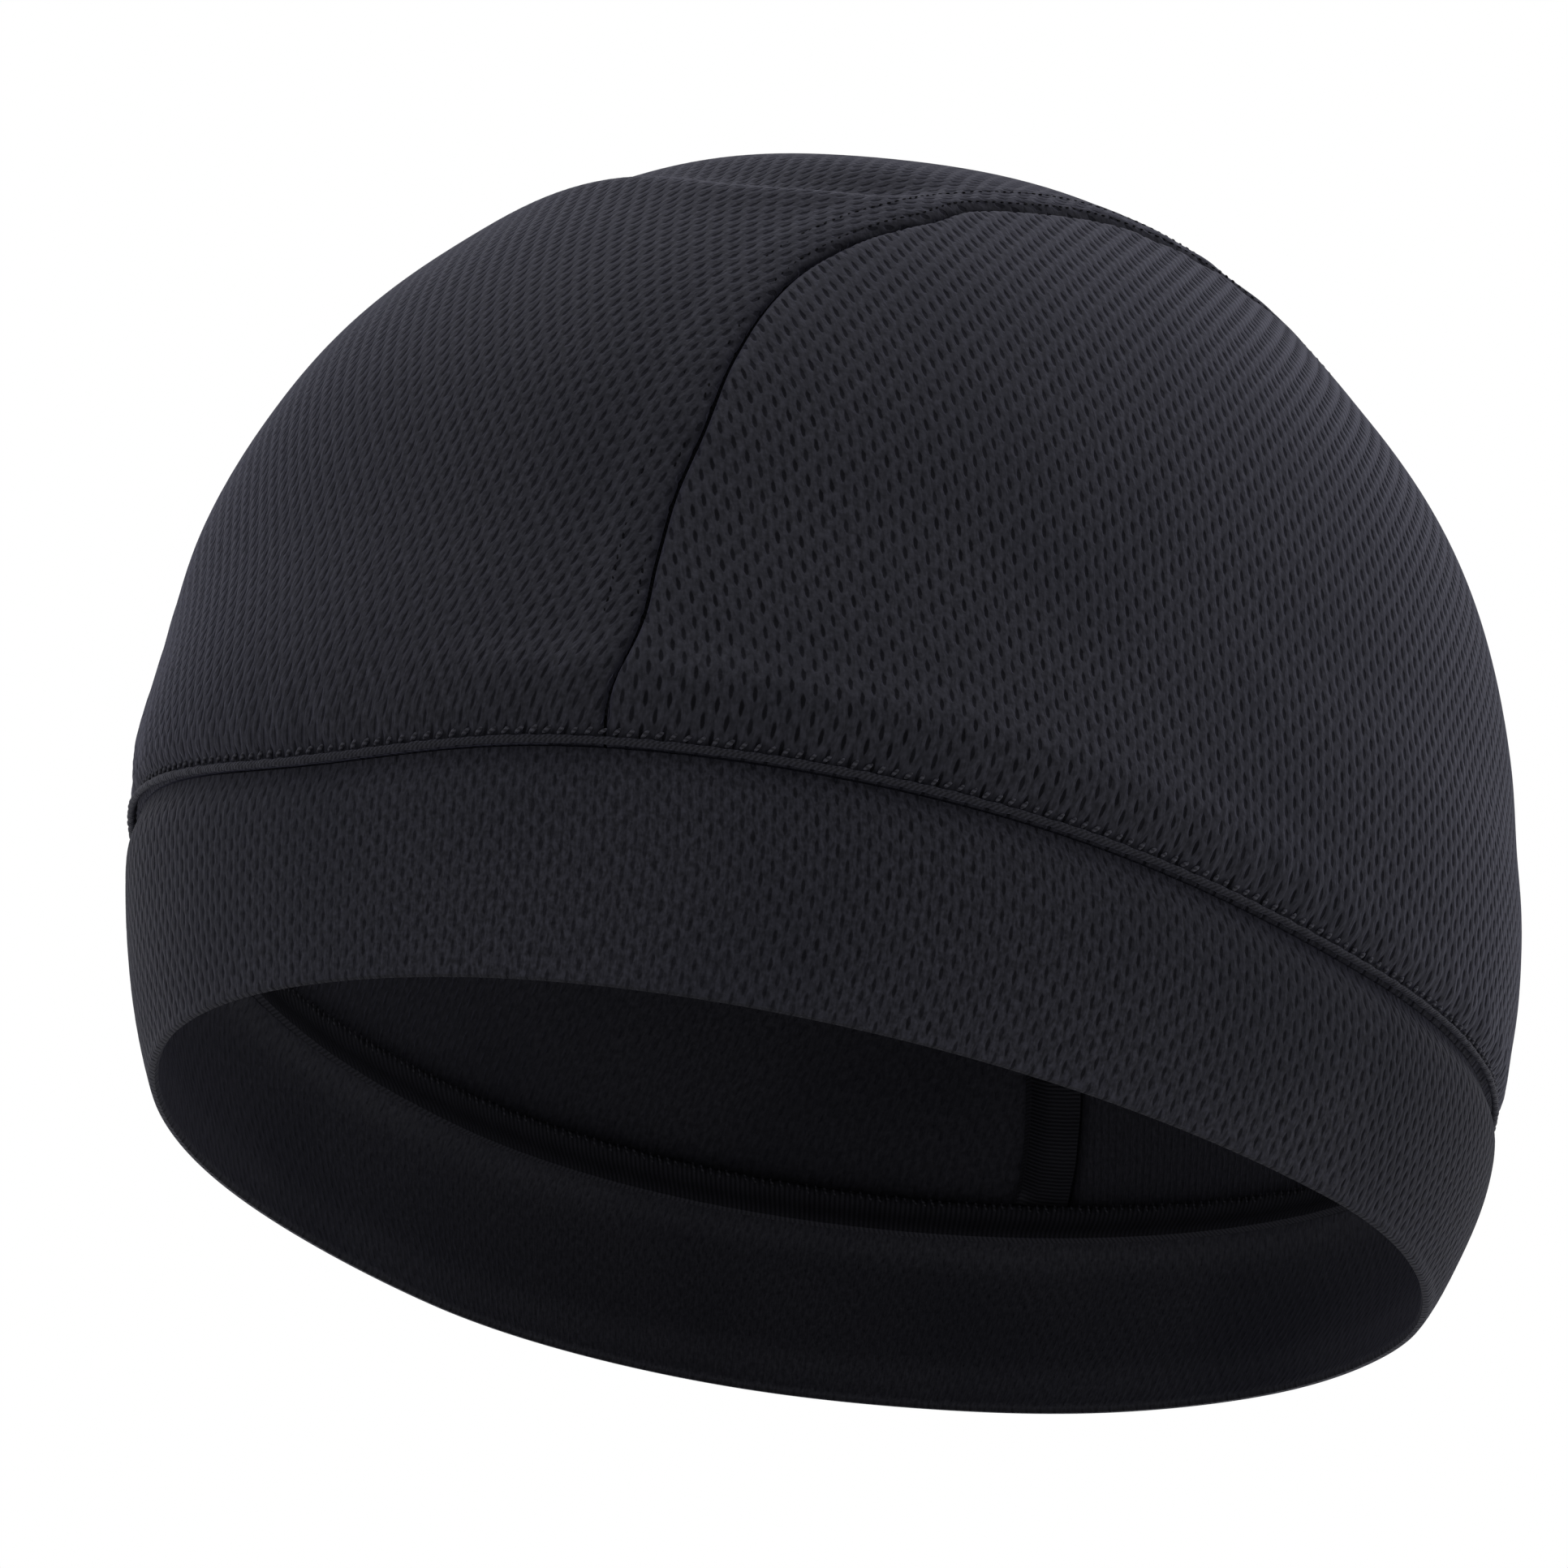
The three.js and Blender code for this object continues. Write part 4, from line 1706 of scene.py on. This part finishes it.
@dataclass(frozen=True)
class MeshFinish:
    """The look of eyelet mesh: matt dark yarn with a faint cool sheen and darker eyelets, whose
    near-black colour is painted shade.

    The painted eyelet shade goes from the closed to the open strength over a span of |x| in
    metres. Sizes of an eyelet are shares of a column and of a row. Streaks and grains count for
    each eyelet, across and along.
    """

    name: str
    # The outer yarn, unlit and painted lit; the painted light shows in streaks and grains.
    yarn: Colour = (0.0055, 0.0055, 0.0070, 1)
    lit_yarn: Colour = (0.0220, 0.0220, 0.0285, 1)
    # Painted light: the inner face is drawn brighter than the outer, for the light that reaches
    # inside the cap.
    inside_yarn_painted_bright: Colour = (0.0100, 0.0100, 0.0128, 1)
    lit_inside_painted_bright: Colour = (0.0240, 0.0240, 0.0300, 1)
    # Painted shade: the eyelets are drawn near black, for the shaded inside of the cap seen
    # through them.
    hole: Colour = (0.0006, 0.0006, 0.0009, 1)
    cool: tuple[float, float, float] = (0.85, 0.95, 1.1)
    hole_across: float = 0.18
    hole_along: float = 0.26
    hole_wander: float = 0.16
    hole_depth: float = 0.9
    # How dark the painted shade along the columns' grooves is.
    groove: float = 0.2
    closed: float = 1.0
    open: float = 1.0
    opens: tuple[float, float] = (0.0, 0.04)
    streaks: tuple[float, float] = (3.0, 2.4)
    grains: tuple[float, float] = (2.2, 5.2)
    streak_edges: tuple[float, float] = (0.36, 0.66)
    grain_edges: tuple[float, float] = (0.34, 0.66)
    hole_edges: tuple[float, float] = (1.5, 0.5)
    cloud_edges: tuple[float, float] = (0.42, 0.7)
    unlit: float = 0.08
    streak_light: float = 0.44
    grain_light: float = 0.33
    fibre_scale: float = 2600.0
    cloud_scale: float = 28.0
    # Painted shade where the cloth turns over, at the rim's fold and the band's top edge.
    painted_fold_shade: float = 0.7
    relief: float = 0.0003
    specular: float = 0.05
    sheen: float = 0.08
    sheen_tint: Colour = (0.68, 0.68, 1.0, 1)

    def build(self) -> bpy.types.Material:
        """Draws the finish over the piece's lattice; by its inside attribute it paints the inner
        face brighter and paints shade where the cloth turns over.

        Returns:
            The material.
        """
        g = Graph(bpy.data.materials.new(self.name))
        place = g.node("ShaderNodeTexCoord").outputs
        u, v, _ = g.split(place["UV"])
        beside = g.split(place["Object"])[0].absolute()
        inside = g.value("ShaderNodeAttribute", {}, "Fac", attribute_name="inside")
        column = (u + 0.5).floor()
        across = u - column
        shifted = v + (column + 2000.0) % 2.0 * 0.5
        along = shifted.wrap()
        chance = g.value("ShaderNodeTexWhiteNoise",
                         {"Vector": g.plane(column, (shifted + 0.5).floor())}, "Value",
                         noise_dimensions="2D")
        yarns = g.plane(u * self.streaks[0], v * self.streaks[1])
        grains = g.plane(u * self.grains[0], v * self.grains[1])
        streak = g.noise(yarns, 1.0, 1.0).step(*self.streak_edges)
        grain = g.noise(grains, 1.0, 1.0).step(*self.grain_edges)
        fibre = g.noise(place["Object"], self.fibre_scale, 3.0)
        cloud = g.noise(place["Object"], self.cloud_scale, 2.0)
        wander = across + self.hole_wander * (g.noise(yarns, 1.7, 1.0) - 0.5)
        ellipse = (wander / self.hole_across) ** 2 + (along / self.hole_along) ** 2
        hole = ellipse.step(*self.hole_edges)
        # How strongly the painted eyelet shade shows: from the closed strength near the middle to
        # the open strength beside, varied eyelet by eyelet, and faint on the inner face.
        opening = self.closed + (self.open - self.closed) * beside.step(*self.opens)
        strength = opening * (0.7 + 0.3 * chance) * (1.0 - 0.9 * inside)
        rib = 0.5 - 0.5 * (across * TURN).cosine()
        # Painted shade along the grooves of the columns, which with the streaks and grains
        # decides how lit the yarn is painted.
        shade = 1.0 - self.groove * (1.0 - rib)
        light = self.unlit + self.streak_light * streak + self.grain_light * grain
        light = light * (0.5 + fibre) * shade
        # Painted light: the yarn goes from unlit to lit colours, and the inner face is painted
        # brighter.
        yarn = g.mix(light, g.mix(inside, self.yarn, self.inside_yarn_painted_bright),
                     g.mix(inside, self.lit_yarn, self.lit_inside_painted_bright))
        cool = tuple(part * tint for part, tint in zip(self.yarn, (*self.cool, 1)))
        tinted = g.mix(cloud.step(*self.cloud_edges) * 0.3, yarn, cool)
        # Painted shade where the cloth turns over, found by the inside attribute and drawn in the
        # eyelet colour.
        painted_fold_shade = inside * (1.0 - inside) * 4.0
        # Painted shade in the eyelets.
        colour = g.mix(hole * strength, tinted, self.hole)
        height = rib * 0.15 + streak * rib * 0.3 + fibre * 0.25 - hole * self.hole_depth
        return g.surface(
            base_color=g.mix(painted_fold_shade * self.painted_fold_shade, colour, self.hole),
            roughness=0.62 + 0.22 * hole + 0.1 * fibre,
            specular_ior_level=self.specular,
            sheen_weight=self.sheen,
            sheen_roughness=0.5,
            sheen_tint=self.sheen_tint,
            normal=g.bump(height, 0.55, self.relief),
        )


@dataclass(frozen=True)
class ThreadFinish:
    """The look of thread and rolled cloth: fine twisted fibres along the piece."""

    name: str
    dark: Colour = (0.007, 0.007, 0.009, 1)
    light: Colour = (0.024, 0.024, 0.030, 1)
    twist: float = 10.0
    slant: float = 6.0
    fibre_scale: float = 3200.0
    relief: float = 0.0002
    specular: float = 0.06
    sheen: float = 0.0
    sheen_tint: Colour = (0.75, 0.75, 1.0, 1)

    def build(self) -> bpy.types.Material:
        """Twists the plies along the piece and lays fibres over them.

        Returns:
            The material.
        """
        g = Graph(bpy.data.materials.new(self.name))
        place = g.node("ShaderNodeTexCoord").outputs
        u, v, _ = g.split(place["UV"])
        ply = (u * self.twist + v * self.slant).cosine() * 0.5 + 0.5
        fibre = g.noise(place["Object"], self.fibre_scale, 3.0)
        return g.surface(
            base_color=g.mix(ply * (0.4 + 0.8 * fibre), self.dark, self.light),
            roughness=0.58 + 0.2 * fibre,
            specular_ior_level=self.specular,
            sheen_weight=self.sheen,
            sheen_tint=self.sheen_tint,
            normal=g.bump(ply * 0.6 + fibre * 0.4, 0.5, self.relief),
        )


# Studio


@dataclass(frozen=True)
class SoftLight:
    """A square soft light, in metres and watts."""

    name: str
    place: tuple[float, float, float]
    size: float
    power: float


@dataclass
class Studio:
    """The camera, the soft light and the pale floor. The camera's axes are unit vectors."""

    eye: tuple[float, float, float] = (0.50027, -0.54766, -0.3666)
    right: tuple[float, float, float] = (0.75133, 0.64572, 0.13623)
    up: tuple[float, float, float] = (0.14062, -0.35833, 0.92294)
    back: tuple[float, float, float] = (0.64477, -0.67428, -0.36002)
    lens: float = 141.46
    sensor: float = 36.0
    target: tuple[float, float, float] = (0.0, 0.0, -0.07)
    floor_height: float = -1.6
    floor_radius: float = 1.4
    lights: tuple[SoftLight, ...] = (
        SoftLight("key", (-0.12, -0.36, 0.86), 0.8, 4.0),
        SoftLight("front", (-0.45, -0.9, -0.4), 0.7, 1.5),
        SoftLight("low_side", (0.6, 0.85, -0.3), 0.5, 1.9),
    )

    def camera(self) -> None:
        """Places the camera."""
        data = bpy.data.cameras.new("camera")
        data.lens = self.lens
        data.sensor_width = self.sensor
        obj = bpy.data.objects.new("camera", data)
        turn = Matrix((self.right, self.up, self.back)).transposed().to_4x4()
        obj.matrix_world = Matrix.Translation(self.eye) @ turn
        bpy.context.scene.collection.objects.link(obj)
        bpy.context.scene.camera = obj

    def light(self) -> None:
        """Adds the soft lights, each aimed at the cap."""
        for row in self.lights:
            data = bpy.data.lights.new(row.name, "AREA")
            data.size = row.size
            data.energy = row.power
            obj = bpy.data.objects.new(row.name, data)
            obj.location = row.place
            obj.rotation_mode = "QUATERNION"
            away = Vector(row.place) - Vector(self.target)
            obj.rotation_quaternion = away.to_track_quat("Z", "Y")
            bpy.context.scene.collection.objects.link(obj)

    def world(self) -> None:
        """Surrounds the cap with even white light."""
        g = Graph(bpy.data.worlds.new("studio"))
        sky = g.node("ShaderNodeBackground", {"Color": (1, 1, 1, 1)})
        bpy.context.scene.world = g.end(sky, "ShaderNodeOutputWorld")
        bpy.context.scene.view_settings.view_transform = "Standard"

    def floor(self) -> None:
        """Lays the pale floor, far below the hanging cap."""
        bpy.ops.object.select_all(action="DESELECT")
        bpy.ops.mesh.primitive_circle_add(vertices=96, radius=self.floor_radius,
                                          fill_type="NGON", location=(0, 0, self.floor_height))
        obj = bpy.context.object
        obj.name = "floor"
        g = Graph(bpy.data.materials.new("pale_floor"))
        grain = g.noise(g.node("ShaderNodeTexCoord").outputs["Object"], 30.0)
        colour = g.mix(grain, (0.86, 0.86, 0.86, 1), (0.92, 0.92, 0.92, 1))
        obj.data.materials.append(g.surface(base_color=colour, roughness=0.9))

    def build(self) -> None:
        """Sets up the whole studio."""
        self.camera()
        self.light()
        self.world()
        self.floor()


# The cap


SIDE_CLOTH = MeshFinish("side_mesh")
STRIP_CLOTH = MeshFinish("strip_mesh", hole_across=0.16, hole_along=0.3, groove=0.4,
                         closed=0.5, open=0.8)
BAND_CLOTH = MeshFinish("band_mesh", yarn=(0.0055, 0.0055, 0.0072, 1),
                        lit_yarn=(0.0225, 0.0225, 0.0300, 1), hole_across=0.16,
                        closed=0.45, open=0.7, opens=(0.042, 0.06), sheen=0.03)
ROLLED_EDGE = ThreadFinish("rolled_edge", dark=(0.005, 0.005, 0.0065, 1),
                           light=(0.018, 0.018, 0.023, 1), sheen=0.07)
COVER_THREAD = ThreadFinish("cover_thread", light=(0.036, 0.036, 0.044, 1), specular=0.08,
                            sheen=0.1)
# Thread colour with painted shade: the topstitches are drawn near black, darker than the yarn, so
# that they read as shaded dents.
SEAM_THREAD_DENT_SHADE = ThreadFinish("seam_thread_dent_shade", dark=(0.001, 0.001, 0.0015, 1),
                           light=(0.003, 0.003, 0.004, 1), specular=0.02)
OVERLOCKED_EDGE = ThreadFinish("overlocked_edge", dark=(0.009, 0.009, 0.0115, 1))
PRESSED_EDGE = ThreadFinish("pressed_edge", dark=(0.006, 0.006, 0.008, 1),
                            light=(0.016, 0.016, 0.020, 1))
OVERLOCK_THREAD = ThreadFinish("overlock_thread", light=(0.030, 0.030, 0.038, 1),
                               specular=0.1)


@dataclass
class Seams:
    """The rib, the allowances inside and every row of stitches."""

    lines: StitchLines = StitchLines()
    cover_rise: float = 1.4
    cover_lift: float = 0.16
    topstitch_inside: tuple[tuple[str, float], ...] = (("near", 0.95), ("far", 3.4))
    overlock_rise: float = 5.3
    overlock_depth: float = -BAND_WALL - GAP - 1.22

    def edges(self) -> None:
        """Builds the rib and the allowances."""
        Rib().build(ROLLED_EDGE.build())
        BandAllowance().build(OVERLOCKED_EDGE.build())
        pressed = PRESSED_EDGE.build()
        for side in Side:
            CrownAllowance(side, f"{side.name.lower()}_seam_allowance").build(pressed)

    def stitches(self) -> None:
        """Builds the rows of stitches."""
        points, lift = self.lines.ring(self.cover_rise, self.cover_lift)
        lift += self.cover_lift * ramp(points[:, 0], *LEFT_FRONT)
        cover = StitchRow("cover_stitches", points, lift, COVER_STITCH, closed=True)
        cover.build(COVER_THREAD.build(), Slot.ROLL)
        # The near-black thread carries painted shade, so the topstitches read as dents.
        thread = SEAM_THREAD_DENT_SHADE.build()
        for side in Side:
            for place, inside in self.topstitch_inside:
                name = f"{side.name.lower()}_topstitch_{place}"
                line = self.lines.seam(side, inside)
                StitchRow(name, *line, TOPSTITCH).build(thread, Slot.ROLL)
        edge = self.lines.ring(self.overlock_rise, self.overlock_depth)
        overlock = StitchRow("overlock_stitches", *edge, OVERLOCK_STITCH, closed=True)
        overlock.build(OVERLOCK_THREAD.build(), Slot.OVERLOCK)


@dataclass
class Cap:
    """The whole cap."""

    def crown(self) -> None:
        """Builds the three panels of the crown."""
        sewn_on = tuple(f"{side.name.lower()}_{piece}" for side in Side
                        for piece in ("allowance", "topstitch_near", "topstitch_far"))
        strip = CrownPanel("centre_strip", "crown_centre_panel", StripPattern(), 2, sewn_on)
        strip.build(STRIP_CLOTH.build())
        material = SIDE_CLOTH.build()
        for side in Side:
            name = f"{side.name.lower()}_panel"
            CrownPanel(name, f"crown_{name}", SidePattern(side=side), 3).build(material)

    def build(self) -> None:
        """Builds every piece, the cloth last."""
        seams = Seams()
        seams.edges()
        seams.stitches()
        self.crown()
        Band().build(BAND_CLOTH.build())


def main() -> None:
    """Builds the cap and its studio."""
    Cap().build()
    Studio().build()


if __name__ == "__main__":
    main()
